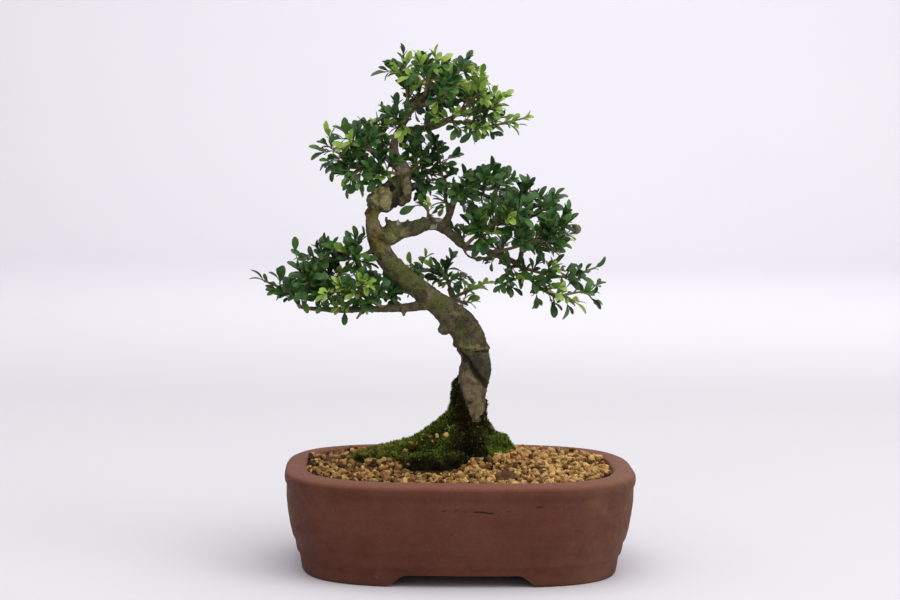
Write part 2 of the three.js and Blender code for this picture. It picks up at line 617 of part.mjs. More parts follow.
// The same section with its corners counted from the one that lies nearest the loop it joins
function turnToMatch(section, loop) {
  const middleOf = (list) => list.reduce((sum, c) => sum.add(c), new THREE.Vector3()).divideScalar(4);
  const shift = middleOf(section).sub(middleOf(loop));
  const miss = (turn) => loop.reduce((sum, corner, i) => {
    return sum + section[(i + turn) % 4].distanceTo(corner.clone().add(shift));
  }, 0);
  const turn = [1, 2, 3].reduce((best, next) => (miss(next) < miss(best) ? next : best), 0);
  return section.map((unused, i) => section[(i + turn) % 4]);
}

// The stalk runs from the stem of its spray to just above the berry
function makeStalk(points) {
  const { place: start } = limbAt(points, stalkFraction);
  const end = vec(berryPlace).add(new THREE.Vector3(0, 0, berryRadius + seatGap));
  const bend = start.clone().lerp(end, 0.6);
  bend.z += 2.5;
  const stalk = [start, bend, end].map((corner) => [...corner.toArray(), twigRadius * 0.8]);
  return toSolid(limbGeometry(stalk, 3, 2));
}

function reserveWood() {
  const limbs = [trunk, ...Object.values(branches), ...roots];
  limbs.forEach((points) => {
    const curve = limbCurve(points);
    const steps = Math.ceil(curve.getLength() / 2);
    for (let step = 0; step <= steps; step++) {
      const { place, radius } = limbAt(points, step / steps);
      taken.push({ place, radius: radius * 1.1, owner: 'wood' });
    }
  });
  burls.forEach(([x, y, z, width]) => taken.push({ place: vec([x, y, z]), radius: width, owner: 'wood' }));
  taken.push({ place: vec(berryPlace), radius: berryRadius + 0.5, owner: 'berry' });
}

// The first point of a spray, at the bark of the limb that it grows from
function sprayRoot(limb, at, towards, radius) {
  const points = limb === 'trunk' ? trunk : branches[limb];
  const { place: root, radius: limbRadius } = limbAt(points, at);
  const leaving = vec(towards).sub(root).normalize();
  if (at === 1) return root.addScaledVector(leaving, seatGap + 0.4);
  const cosine = Math.abs(leaving.dot(limbCurve(points).getTangent(at)));
  const sine = Math.sqrt(1 - cosine * cosine);
  const bark = limb === 'trunk' ? limbRadius : limbRadius * thinLimbFlat;
  return root.addScaledVector(leaving, (bark + seatGap + radius * cosine * 0.6) / sine);
}

// The stem runs on into the first tip's twig, and the other twigs leave it on the way
function layOutSprays() {
  reserveWood();
  let seed = 11;
  return Object.entries(sprays).map(([owner, { limb, at, stem, tips }]) => {
    const random = makeRandom(seed);
    seed += 17;
    const root = sprayRoot(limb, at, stem.length > 0 ? stem[0] : tips[0][1], stemRadius);
    const stemPoints = [[...root.toArray(), stemRadius], ...stem.map((point) => [...point, stemRadius])];
    if (stem.length > 0) fill(twigSamples(stemPoints, 1), stemRadius, owner);
    const twigs = tips.map(([fraction, tip], number) => {
      const start = stem.length > 0 ? limbAt(stemPoints, fraction * 0.96).place : root;
      const reach = vec(tip).distanceTo(start);
      const end = start.clone().lerp(vec(tip), 1 - 0.75 * leafLength / reach);
      const rest = growTwig(start, end, owner, random, stem.length > 0 ? 2 : 3);
      const twig = number === 0 ? [...stemPoints, ...rest] : [[...start.toArray(), twigRadius], ...rest];
      fill(twigSamples(twig, 1), 0.7, owner);
      return twig;
    });
    return { owner, twigs, random };
  });
}

// Where a twig has its rings: leaves crowd at its end, one to each short stretch
function leafStations(points) {
  const curve = limbCurve(points);
  const reach = curve.getLength();
  const spans = points.length - 1;
  const count = Math.min(5, Math.max(3, Math.round(leavesOnTwig + reach / 9)));
  const leafyPart = Math.min(0.75, count * leafSpacing / reach);
  const stations = [];
  for (let leaf = 0; leaf <= count; leaf++) {
    stations.push(curve.getUtoTmapping(1 - leafyPart * (1 - leaf / count)));
  }
  const bareStations = [];
  for (let span = 0; span / spans < stations[0] - 0.4 / spans; span++) bareStations.push(span / spans);
  return { stations: [...bareStations, ...stations], bare: bareStations.length };
}

function makeSpray({ owner, twigs, random }, woodGrown) {
  const pieces = twigs.map((twig) => toSolid(leafyTwigGeometry(twig, owner, random)));
  if (owner === berrySpray) pieces.push(makeStalk(twigs[0]));
  const spray = pieces.reduce((whole, piece) => whole.add(piece));
  return biggestBody(spray.intersect(woodGrown).isEmpty() ? spray : spray.subtract(woodGrown));
}

// The one berry hangs just clear of the end of its stalk
function makeBerry() {
  const berry = new THREE.SphereGeometry(berryRadius, 9, 6);
  berry.rotateX(Math.PI / 2);
  berry.translate(...berryPlace);
  return toSolid(berry);
}

// The parts, each with its colour

const finishes = {
  pot: { color: '#6b4538', roughness: 0.75 },
  soil: { color: '#b08a55', roughness: 0.95 },
  wood: { color: '#6e6650', roughness: 0.9 },
  moss: { color: '#4a5c1e', roughness: 1 },
  leaf: { color: '#2f5527', roughness: 0.45 },
  berry: { color: '#4a2a26', roughness: 0.5 },
  screen: { color: '#20201f', roughness: 0.6 },
};

const bonsai = new THREE.Group();
bonsai.position.x = potAxisX;

function place(name, solid, finish) {
  const { color, roughness } = finishes[finish];
  const material = new THREE.MeshStandardMaterial({ color, roughness, metalness: 0 });
  const mesh = new THREE.Mesh(toGeometry(solid), material);
  mesh.name = name;
  bonsai.add(mesh);
}

const wood = makeWood(0);
const woodGrown = makeWood(seatGap);
const soilBlock = makeSoilBlock();

place('pot', makePot(), 'pot');
place('drain_screen_left', makeScreen(-1), 'screen');
place('drain_screen_right', makeScreen(1), 'screen');
let soil = soilBlock.subtract(woodGrown);
for (const side of [-1, 1]) {
  const pocket = new THREE.BoxGeometry(screenSide + 2 * seatGap, screenSide + 2 * seatGap, 6);
  pocket.translate(side * drainHoleX, 0, floorTop + screenThickness + 2 * seatGap - 3);
  soil = soil.subtract(toSolid(pocket));
}
place('soil', biggestBody(soil), 'soil');
place('wood', wood, 'wood');
place('moss', makeMoss(woodGrown, soilBlock), 'moss');

place('berry', makeBerry(), 'berry');
layOutSprays().forEach((spray) => place(spray.owner, makeSpray(spray, woodGrown), 'leaf'));

export default bonsai;
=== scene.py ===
import math
import random

import bpy
from mathutils import Matrix, Vector, noise
from mathutils.bvhtree import BVHTree
from mathutils.kdtree import KDTree


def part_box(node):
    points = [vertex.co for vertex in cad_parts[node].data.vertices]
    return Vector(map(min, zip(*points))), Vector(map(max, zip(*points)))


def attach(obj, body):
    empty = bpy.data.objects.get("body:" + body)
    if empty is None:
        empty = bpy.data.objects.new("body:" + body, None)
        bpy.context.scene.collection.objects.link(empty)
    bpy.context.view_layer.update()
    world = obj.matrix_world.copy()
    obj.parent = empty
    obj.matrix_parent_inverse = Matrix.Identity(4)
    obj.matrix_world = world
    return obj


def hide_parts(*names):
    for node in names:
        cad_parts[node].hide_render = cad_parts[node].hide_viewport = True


# A japanese holly bonsai in its stoneware pot
# Tables are in millimetres from the pot's axis, meshes in metres

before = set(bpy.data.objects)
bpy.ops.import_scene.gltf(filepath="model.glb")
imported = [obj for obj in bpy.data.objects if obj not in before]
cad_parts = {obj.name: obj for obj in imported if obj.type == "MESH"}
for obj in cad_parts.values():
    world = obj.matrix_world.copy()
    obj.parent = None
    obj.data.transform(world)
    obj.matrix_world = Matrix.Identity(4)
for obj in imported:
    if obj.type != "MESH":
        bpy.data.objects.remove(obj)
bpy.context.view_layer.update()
mm = 0.001
potLow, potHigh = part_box("pot")
potAxis = Vector(((potLow.x + potHigh.x) / 2, 0, 0))


def spot(point):
    return Vector(point[:3]) * mm + potAxis


# Small tools that every piece is made with


def pick(*pieces):
    if bpy.context.object and bpy.context.object.mode != "OBJECT":
        bpy.ops.object.mode_set(mode="OBJECT")
    bpy.ops.object.select_all(action="DESELECT")
    for piece in pieces:
        piece.select_set(True)
    bpy.context.view_layer.objects.active = pieces[0]


# Edit mode with all of a piece selected
def openWhole(piece):
    pick(piece)
    bpy.ops.object.mode_set(mode="EDIT")
    bpy.ops.mesh.select_all(action="SELECT")


def extrude(x, y, z):
    bpy.ops.mesh.extrude_region_move(TRANSFORM_OT_translate={"value": (x, y, z)})


def closeShell():
    bpy.ops.mesh.select_all(action="SELECT")
    bpy.ops.mesh.normals_make_consistent(inside=False)
    bpy.ops.object.mode_set(mode="OBJECT")


def named(name):
    piece = bpy.context.object
    piece.name = name
    piece.data.name = name
    return piece


def applyModifiers(piece):
    pick(piece)
    for modifier in list(piece.modifiers):
        bpy.ops.object.modifier_apply(modifier=modifier.name)


def settle(piece):
    pick(piece)
    bpy.ops.object.transform_apply(location=True, rotation=True, scale=True)


# A plain ball at a spot, drawn out to its half sizes
def makeBall(x, y, z, *halves):
    bpy.ops.mesh.primitive_uv_sphere_add(segments=32, ring_count=20, radius=mm, location=spot([x, y, z]))
    ball = named("ball")
    bpy.ops.transform.resize(value=halves)
    settle(ball)
    return ball


# Pieces that cross grow into one even skin, a little softened
def regrow(piece, voxel, rounds):
    even = piece.modifiers.new("even", "REMESH")
    even.mode = "VOXEL"
    even.voxel_size = voxel * mm
    soft = piece.modifiers.new("soft", "SMOOTH")
    soft.iterations = rounds
    applyModifiers(piece)


def makeGrid(name, columns, rows, place=(0, 0, 0)):
    bpy.ops.mesh.primitive_grid_add(x_subdivisions=columns, y_subdivisions=rows, size=1, location=place)
    return named(name)


def thicken(piece, thickness):
    thick = piece.modifiers.new("thickness", "SOLIDIFY")
    thick.thickness = thickness
    return thick


def joined(pieces, name):
    pick(*pieces)
    if len(pieces) > 1:
        bpy.ops.object.join()
    return named(name)


def setSmooth(piece, degrees=180):
    pick(piece)
    if degrees >= 180:
        bpy.ops.object.shade_smooth()
    else:
        bpy.ops.object.shade_smooth_by_angle(angle=math.radians(degrees))


def setFinishes(piece, *materials):
    piece.data.materials.clear()
    for material in materials:
        piece.data.materials.append(material)


def setAttribute(mesh, name, values):
    attribute = mesh.attributes.get(name) or mesh.attributes.new(name, "FLOAT", "POINT")
    attribute.data.foreach_set("value", values)


def setUniform(mesh, name, value):
    setAttribute(mesh, name, [value] * len(mesh.vertices))


batchSize = 250


# Each copy has its own mesh, placed and toned, and all of them are joined in one piece
def joinedCopies(template, placings, toneName, name):
    copies = []
    for place, tone in placings:
        copy = bpy.data.objects.new(name, template.data.copy())
        copy.data.transform(place)
        setUniform(copy.data, toneName, tone)
        bpy.context.collection.objects.link(copy)
        copies.append(copy)
    batches = [copies[i:i + batchSize] for i in range(0, len(copies), batchSize)]
    return joined([joined(batch, name) for batch in batches], name)


def removePiece(piece):
    bpy.data.objects.remove(piece)


# A mesh of a CAD node to work over, its doubled corners merged
def mergedCopy(node, name):
    piece = bpy.data.objects.new(name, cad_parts[node].data.copy())
    piece.data.materials.clear()
    bpy.context.collection.objects.link(piece)
    openWhole(piece)
    bpy.ops.mesh.remove_doubles(threshold=0.02 * mm)
    bpy.ops.object.mode_set(mode="OBJECT")
    return piece


def treeOf(piece):
    corners = [vertex.co for vertex in piece.data.vertices]
    return BVHTree.FromPolygons(corners, [tuple(face.vertices) for face in piece.data.polygons])


# Materials


class Paint:
    def __init__(self, name, **shader):
        self.material = bpy.data.materials.new(name)
        self.material.use_nodes = True
        self.tree = self.material.node_tree
        self.shader = self.tree.nodes["Principled BSDF"]
        for socket, value in shader.items():
            self.shader.inputs[socket.replace("_", " ")].default_value = value

    def feed(self, socket, value):
        if isinstance(value, bpy.types.NodeSocket):
            self.tree.links.new(value, socket)
        elif value is not None:
            socket.default_value = value

    def add(self, kind, values=(), **settings):
        node = self.tree.nodes.new("ShaderNode" + kind)
        for key, value in settings.items():
            setattr(node, key, value)
        for key, value in dict(values).items():
            self.feed(node.inputs[key], value)
        return node

    def here(self):
        return self.add("TexCoord").outputs["Object"]

    def axes(self, place=None):
        split = self.add("SeparateXYZ", {0: self.here() if place is None else place})
        return [split.outputs[axis] for axis in "XYZ"]

    def noise(self, size, detail=4.0, roughness=0.55, stretch=(1, 1, 1), distortion=0.0):
        grain = 1000 / size
        scale = [grain * part for part in stretch]
        place = self.add("Mapping", {"Vector": self.here(), "Scale": scale}).outputs["Vector"]
        values = {"Vector": place, "Scale": 1.0, "Detail": detail, "Roughness": roughness}
        return self.add("TexNoise", {**values, "Distortion": distortion}).outputs["Fac"]

    def attribute(self, name):
        return self.add("Attribute", attribute_name=name).outputs["Fac"]

    def ramp(self, factor, stops):
        node = self.add("ValToRGB", {"Fac": factor})
        elements = node.color_ramp.elements
        while len(elements) < len(stops):
            elements.new(0.5)
        for element, (position, colour) in zip(elements, stops):
            element.position = position
            element.color = (*colour, 1)
        return node.outputs["Color"]

    # A dark and a light colour in soft clouds
    def clouds(self, grain, dark, light):
        return self.ramp(grain, [(0.3, dark), (0.7, light)])

    def mask(self, factor, low, high):
        values = {"Value": factor, "From Min": low, "From Max": high}
        return self.add("MapRange", values, interpolation_type="SMOOTHSTEP").outputs["Result"]

    def mix(self, factor, first, second, blend="MIX"):
        node = self.add("Mix", {0: factor}, data_type="RGBA", blend_type=blend)
        for key, colour in ((6, first), (7, second)):
            self.feed(node.inputs[key], (*colour, 1) if isinstance(colour, tuple) else colour)
        return node.outputs[2]

    def tinted(self, first, second):
        return self.mix(1.0, first, second, "MULTIPLY")

    def sum(self, first, second, operation="ADD"):
        return self.add("Math", {0: first, 1: second}, operation=operation).outputs[0]

    def minus(self, first, second):
        return self.sum(first, second, "SUBTRACT")

    def times(self, first, second):
        return self.sum(first, second, "MULTIPLY")

    def most(self, first, second):
        return self.sum(first, second, "MAXIMUM")

    # 1 inside a ball round a spot, 0 outside it
    def within(self, centre, reach, soft):
        node = self.add("VectorMath", {0: self.here(), 1: spot(centre)}, operation="DISTANCE")
        return self.mask(node.outputs["Value"], (reach + soft) * mm, (reach - soft) * mm)

    def finish(self, colour, roughness=None, height=None, relief=0.5):
        self.feed(self.shader.inputs["Base Color"], colour)
        self.feed(self.shader.inputs["Roughness"], roughness)
        if height is not None:
            bump = self.add("Bump", {"Height": height, "Strength": 1.0, "Distance": relief * mm})
            self.feed(self.shader.inputs["Normal"], bump.outputs["Normal"])
        return self.material


def makeStoneware():
    paint = Paint("unglazedStoneware", Specular_IOR_Level=0.3)
    cloudy = paint.noise(30, detail=6, roughness=0.6)
    streaks = paint.noise(20, detail=7, stretch=(0.3, 0.3, 3.2))
    speckle = paint.noise(0.9, detail=3)
    stops = [(0.3, (0.083, 0.0225, 0.0115)), (0.52, (0.107, 0.031, 0.016)), (0.75, (0.13, 0.043, 0.024))]
    body = paint.ramp(cloudy, stops)
    clay = paint.mix(paint.times(paint.mask(streaks, 0.4, 0.75), 0.35), body, (0.134, 0.05, 0.028))
    tone = paint.clouds(speckle, (0.86, 0.85, 0.84), (1.1, 1.1, 1.08))
    clay = paint.tinted(clay, tone)
    along, _, height = paint.axes()
    # Painted highlight: the top of the lip is painted lighter where the light falls from above
    lip = paint.times(paint.mask(height, 0.0566, 0.0596), 0.6)
    clay = paint.mix(lip, clay, (0.26, 0.105, 0.064))
    # Painted light: the right side of the pot is painted lighter in cloudy patches, a painted pool of the
    # key light from the right
    rightSideLight = paint.mask(along, potAxis.x + 0.045, potAxis.x + 0.1)
    rightSideLight = paint.times(rightSideLight, paint.mask(cloudy, 0.35, 0.7))
    clay = paint.mix(paint.times(rightSideLight, 0.4), clay, (0.2, 0.115, 0.07))
    chips = paint.mask(paint.noise(1.8, detail=4, stretch=(0.4, 0.4, 1.6)), 0.52, 0.64)
    for mark in chalkMarks:
        chalk = paint.times(paint.within(mark["at"], mark["reach"], 2.0), chips)
        clay = paint.mix(paint.times(chalk, 0.55), clay, (0.33, 0.22, 0.17))
    grit = paint.times(paint.mask(paint.noise(0.7, detail=1), 0.74, 0.78), 0.5)
    clay = paint.mix(grit, clay, (0.3, 0.2, 0.14))
    cracks = paint.times(crackMask(paint), 0.92)
    clay = paint.mix(cracks, clay, (0.006, 0.004, 0.004))
    rough = paint.mask(paint.noise(5), -0.9, 1.1)
    relief = paint.sum(paint.times(streaks, 0.3), paint.times(speckle, 0.3))
    relief = paint.minus(relief, paint.times(cracks, 1.2))
    return paint.finish(clay, rough, relief, 0.3)


# The broken row of fine dark cracks along the front, below the lip
def crackMask(paint):
    across, depth, height = paint.axes()
    wander = paint.times(paint.minus(paint.noise(4, detail=4), 0.5), 0.0022)
    wavy = paint.sum(height, wander)
    front = paint.mask(depth, -0.05, -0.07)
    total = None
    for start, end, level, tilt in frontCracks:
        first, last = start * mm + potAxis.x, end * mm + potAxis.x
        begun = paint.mask(across, first, first + 0.0015)
        ends = paint.times(begun, paint.mask(across, last, last - 0.003))
        rise = paint.times(paint.minus(across, first), tilt)
        away = paint.sum(paint.minus(paint.minus(wavy, rise), level * mm), 0, "ABSOLUTE")
        dash = paint.times(paint.mask(away, 0.0007, 0.0002), ends)
        total = dash if total is None else paint.most(total, dash)
    return paint.times(total, front)


def makeBark():
    paint = Paint("oliveGreyBark", Specular_IOR_Level=0.22)
    broad = paint.noise(10, detail=6, roughness=0.62, distortion=0.3)
    medium = paint.noise(3.6, detail=6, roughness=0.62, distortion=0.5)
    fine = paint.noise(1.1, detail=5, roughness=0.7)
    ridges = paint.attribute("barkRidgeShade")
    stops = [(0.3, (0.056, 0.046, 0.026)), (0.46, (0.1, 0.084, 0.047)), (0.58, (0.14, 0.122, 0.072)),
             (0.75, (0.185, 0.163, 0.1))]
    base = paint.ramp(broad, stops)
    stops = [(0.32, (0.5, 0.46, 0.4)), (0.48, (0.95, 0.95, 0.92)), (0.7, (1.25, 1.25, 1.18))]
    mottled = paint.ramp(medium, stops)
    grain = paint.ramp(fine, [(0.32, (0.58, 0.56, 0.52)), (0.68, (1.42, 1.42, 1.4))])
    wear = paint.tinted(mottled, grain)
    base = paint.tinted(base, wear)
    # Painted shade: the bark is darkened where it sinks, in its furrows, pits, creases and hollows
    furrowShade = paint.times(paint.mask(ridges, 0.4, 0.05), 0.8)
    base = paint.mix(furrowShade, base, (0.022, 0.015, 0.009))
    algae = paint.times(paint.mask(paint.noise(7, detail=5), 0.5, 0.64), 0.6)
    base = paint.mix(algae, base, paint.tinted((0.1, 0.115, 0.035), wear))
    rag = paint.times(paint.minus(medium, 0.5), 1.7)
    for kind, strength, *balls in barkPatches:
        area = None
        for x, y, z, reach in balls:
            ball = paint.within([x, y, z], reach, 2.4)
            area = ball if area is None else paint.most(area, ball)
        ragged = paint.mask(paint.sum(area, rag), 0.35, 0.65)
        ragged = paint.times(ragged, paint.mask(area, 0.02, 0.2))
        base = paint.mix(paint.times(ragged, strength), base, paint.tinted(patchColours[kind], wear))
    relief = paint.sum(fine, medium)
    rough = paint.mask(fine, -1.8, 0.9)
    return paint.finish(base, rough, relief, 0.62)


def makeMossPaint():
    paint = Paint("moss", Roughness=1.0, Specular_IOR_Level=0.08)
    tone = paint.attribute("mossTone")
    patches = paint.minus(paint.noise(6, detail=4), 0.5)
    blend = paint.sum(tone, paint.times(patches, 0.7))
    stops = [(0.08, (0.011, 0.008, 0.003)), (0.3, (0.026, 0.026, 0.006)), (0.5, (0.05, 0.075, 0.01)),
             (0.72, (0.095, 0.16, 0.016)), (0.98, (0.2, 0.27, 0.04))]
    leftEnd = paint.mask(paint.axes()[0], potAxis.x - 0.026, potAxis.x - 0.042)
    dry = paint.times(leftEnd, paint.mask(patches, -0.12, 0.1))
    base = paint.mix(paint.times(dry, 0.6), paint.ramp(blend, stops), (0.2, 0.16, 0.035))
    return paint.finish(base, None, paint.noise(0.8), 0.4)


def makeGranulePaint():
    paint = Paint("akadamaGranules", Roughness=0.95, Specular_IOR_Level=0.15)
    tone = paint.attribute("grainTone")
    stops = [(0.0, (0.06, 0.03, 0.01)), (0.25, (0.22, 0.118, 0.04)), (0.5, (0.43, 0.25, 0.09)),
             (0.88, (0.72, 0.47, 0.19)), (1.0, (0.34, 0.14, 0.055))]
    base = paint.ramp(tone, stops)
    dust = paint.clouds(paint.noise(0.7, detail=3), (0.66, 0.64, 0.6), (1.22, 1.2, 1.16))
    return paint.finish(paint.tinted(base, dust), None, paint.noise(0.5), 0.2)


# The bed shows only in the gaps between the granules and in the bare hollows: its near black is painted
# shade
def makeShadedSoilBedPaint():
    paint = Paint("shadedSoilBed", Roughness=1.0, Specular_IOR_Level=0.1)
    base = paint.ramp(paint.noise(2.5), [(0.35, (0.01, 0.005, 0.002)), (0.7, (0.06, 0.032, 0.012))])
    return paint.finish(base, None, paint.noise(1.5), 0.6)


def makeLeafPaint(name, dark, middle, young, roughness, vein):
    paint = Paint(name, Roughness=roughness, Specular_IOR_Level=0.27)
    paint.shader.inputs["Coat Weight"].default_value = 0.06 if vein > 0 else 0.0
    paint.shader.inputs["Coat Roughness"].default_value = 0.3
    tone = paint.attribute("leafTone")
    across, along, _ = paint.axes(paint.add("UVMap", uv_map="UVMap").outputs[0])
    base = paint.ramp(tone, [(0.0, dark), (0.5, middle), (0.78, young), (1.0, limeLeaf)])
    mottle = paint.clouds(paint.noise(2.4, detail=3), (0.8, 0.82, 0.8), (1.18, 1.16, 1.1))
    base = paint.tinted(base, mottle)
    fromRib = paint.sum(paint.minus(across, 0.5), 0, "ABSOLUTE")
    rib = paint.mask(fromRib, 0.05, 0.015)
    slanted = paint.minus(paint.times(along, 7.0), paint.times(fromRib, 5.0))
    sideVeins = paint.mask(paint.sum(slanted, 1.0, "PINGPONG"), 0.16, 0.02)
    veins = paint.most(rib, paint.times(sideVeins, 0.3))
    base = paint.mix(paint.times(veins, abs(vein)), base, (0.13, 0.2, 0.045))
    height = paint.times(veins, -1.0 if vein > 0 else 1.0)
    return paint.finish(base, None, height, 0.06)


def makeStemPaint(name, low, high, size):
    paint = Paint(name, Roughness=0.7, Specular_IOR_Level=0.3)
    base = paint.clouds(paint.noise(size, detail=4), low, high)
    return paint.finish(base, None, paint.noise(1.2, detail=4), 0.25)


def makeBerryPaint():
    paint = Paint("berrySkin", Roughness=0.42, Specular_IOR_Level=0.5)
    middle = spot(berry["at"]).x
    # The berry is painted browner and darker to the left: partly its own colour, partly painted shade on
    # the side away from the key light
    blushAndSideShade = paint.mask(paint.axes()[0], middle - 2 * mm, middle + 3 * mm)
    base = paint.mix(blushAndSideShade, (0.09, 0.078, 0.038), (0.12, 0.135, 0.05))
    mottle = paint.ramp(paint.noise(1.6), [(0.35, (0.75, 0.7, 0.7)), (0.7, (1.25, 1.2, 1.15))])
    return paint.finish(paint.tinted(base, mottle), None, paint.noise(0.9), 0.1)


def makePlasticPaint():
    paint = Paint("screenPlastic", Roughness=0.55)
    base = paint.clouds(paint.noise(2), (0.01, 0.01, 0.01), (0.022, 0.022, 0.02))
    return paint.finish(base, None, paint.noise(0.6), 0.1)


# Cracks on the pot's front: from and to along X, height, and how fast it rises
frontCracks = [
    [-12, -8, 45.6, 0.1], [-5, -1.5, 46, 0.1], [0, 2.6, 45.3, 0], [5.5, 19, 45.4, -0.05],
    [24.5, 28, 45.5, 0.1], [41, 46.5, 47.4, 0.16],
]
chalkMarks = [{"at": [-48, -71, 5], "reach": 4}, {"at": [48, -71, 3], "reach": 3.2}]

# Patches on the bark: what they are, how strongly they cover it, and the balls [x, y, z, reach] they fill.
# The 'shade' patches and the 'dark' ones are painted shade, the 'dark' ones in the creases
patchColours = {
    "bare": (0.205, 0.16, 0.095), "pale": (0.35, 0.32, 0.16), "dark": (0.034, 0.026, 0.02),
    "algae": (0.095, 0.115, 0.03), "olive": (0.19, 0.16, 0.04), "red": (0.12, 0.05, 0.03),
    "lichen": (0.36, 0.37, 0.28), "shade": (0.075, 0.072, 0.042), "skin": (0.25, 0.2, 0.155),
}
barkPatches = [
    ["shade", 0.6, [-30, -4, 200, 8], [-20, -4, 202, 7], [-8, -4, 198, 8], [6, -5, 190, 9],
        [24, -6, 184, 12]],
    ["shade", 0.35, [-32, 0, 222, 6], [-31, 0, 229, 5]],
    ["shade", 0.5, [-30, -8, 154, 8], [-48, -9, 153, 12], [-70, -10, 152, 14]],
    ["algae", 0.75, [-37, -8, 178, 7], [-28, -9, 168, 8], [-42, -7, 196, 5], [-12, -9, 156, 5]],
    ["algae", 0.6, [-24, -6, 203, 3.5], [4, -6, 130, 5], [0, -7, 141, 4]],
    ["shade", 0.7, [10, -6, 122, 5], [15, -4, 119, 6.5], [19, 0, 114, 6], [17, 6, 110, 6]],
    # Painted shade along the crease below the bare patch
    ["dark", 0.95, [3, -3, 122.4, 3], [6, -5, 118.6, 3.2], [9, -5, 115.6, 3.2], [12, -5, 112.4, 3],
        [15, -3, 109.4, 2.8]],
    ["dark", 0.5, [12, -5, 120, 4], [18, -1, 116, 4.5]],
    ["dark", 0.45, [-24, -10, 161, 4], [1, -9, 145, 4.5], [-33, -9, 163, 3]],
    ["pale", 0.32, [1, -5, 130.4, 1.7], [4, -6, 130.2, 1.9], [7, -6.5, 130, 2], [10.5, -6.3, 129.8, 2],
        [14, -5, 129.6, 1.9], [17, -3, 129.4, 1.6]],
    ["bare", 0.95, [1.5, -4, 112, 5], [5, -6, 107, 6.5], [9, -5, 101, 7], [12, -4, 94, 7],
        [13, -3, 88, 4.5]],
    ["pale", 0.85, [-46, -6, 219, 6.5], [-43, -5, 214, 4.5]],
    ["pale", 0.3, [-31, -4, 225, 5], [-42, -6, 193, 5.5], [-33, -6, 198, 3.5]],
    ["olive", 0.75, [-49, -5, 189, 5], [-51, -4, 198, 6], [-52, -3, 207, 5.5]],
    ["skin", 0.7, [-34, 0, 237, 5], [-40, 0, 244, 5], [-39, -1, 252, 4]],
    ["skin", 0.45, [-52, -4, 200, 5], [-14, 0, 156, 7]],
    # Painted shade along the burl's crease
    ["dark", 0.95, [-40, -3, 225, 2.2], [-38, -4, 221, 2.2], [-38.4, -2, 216, 2.4], [-39.3, 0, 213, 2.4],
        [-40.5, -4, 207, 2.6]],
    ["red", 0.7, [-54, -4, 210, 2.2], [-49, -7, 209, 2.4], [-45, -5, 208, 2]],
    ["lichen", 0.85, [-20, -3, 207, 3], [-14, -3, 206, 3.4], [-16, -7, 201, 1.8], [-37, -6, 203, 1.6]],
]

limeLeaf = (0.5, 0.62, 0.16)
finishes = {
    "leafTop": makeLeafPaint(
        "leafTop", (0.012, 0.041, 0.012), (0.053, 0.146, 0.022), (0.24, 0.4, 0.055), 0.42, 0.35),
    "leafUnder": makeLeafPaint(
        "leafUnder", (0.05, 0.094, 0.034), (0.095, 0.168, 0.04), (0.23, 0.37, 0.06), 0.6, -0.4),
    "woodyStem": makeStemPaint("woodyStem", (0.088, 0.064, 0.032), (0.24, 0.185, 0.088), 5),
    "youngStem": makeStemPaint("youngStem", (0.21, 0.17, 0.045), (0.42, 0.34, 0.1), 4),
    "bark": makeBark(),
    "moss": makeMossPaint(),
    "granules": makeGranulePaint(),
    "shadedSoilBed": makeShadedSoilBedPaint(),
}

# Paths: smooth curves through the tables' points


def curvePoint(points, fraction):
    span = fraction * (len(points) - 1)
    i = min(int(span), len(points) - 2)
    t = span - i
    start, end = Vector(points[i][:3]), Vector(points[i + 1][:3])
    before = Vector(points[i - 1][:3]) if i > 0 else start * 2 - end
    after = Vector(points[i + 2][:3]) if i + 2 < len(points) else end * 2 - start
    gaps = [max((b - a).length, 1e-4) ** 0.5 for a, b in ((before, start), (start, end), (end, after))]
    first, second, third = gaps
    leaving = (start - before) / first - (end - before) / (first + second) + (end - start) / second
    arriving = (end - start) / second - (after - start) / (second + third) + (after - end) / third
    place = start * (2 * t ** 3 - 3 * t ** 2 + 1) + end * (3 * t ** 2 - 2 * t ** 3)
    place += leaving * second * (t ** 3 - 2 * t ** 2 + t) + arriving * second * (t ** 3 - t ** 2)
    return place


def radiusAt(points, fraction):
    span = fraction * (len(points) - 1)
    i = min(int(span), len(points) - 2)
    return points[i][3] + (points[i + 1][3] - points[i][3]) * (span - i)


def samplePath(points, spacing):
    length = sum((Vector(b[:3]) - Vector(a[:3])).length for a, b in zip(points, points[1:]))
    steps = max(2, math.ceil(length / spacing))
    return [(curvePoint(points, i / steps), radiusAt(points, i / steps)) for i in range(steps + 1)]


# Tubes along paths, as one bevelled curve turned into a mesh. A path is (samples, finish number)
def makeTubes(paths, name, roundness):
    curve = bpy.data.curves.new(name, "CURVE")
    curve.dimensions = "3D"
    curve.bevel_depth = mm
    curve.bevel_resolution = roundness
    curve.use_fill_caps = True
    for samples, finish in paths:
        spline = curve.splines.new("POLY")
        spline.points.add(len(samples) - 1)
        spline.material_index = finish
        for point, (place, radius) in zip(spline.points, samples):
            point.co = (*spot(place), 1)
            point.radius = radius
    piece = bpy.data.objects.new(name, curve)
    bpy.context.collection.objects.link(piece)
    pick(piece)
    bpy.ops.object.convert(target="MESH")
    return named(name)


# Pot: one outline drawn up the profile ring by ring, hollowed, with its foot and drain holes cut out

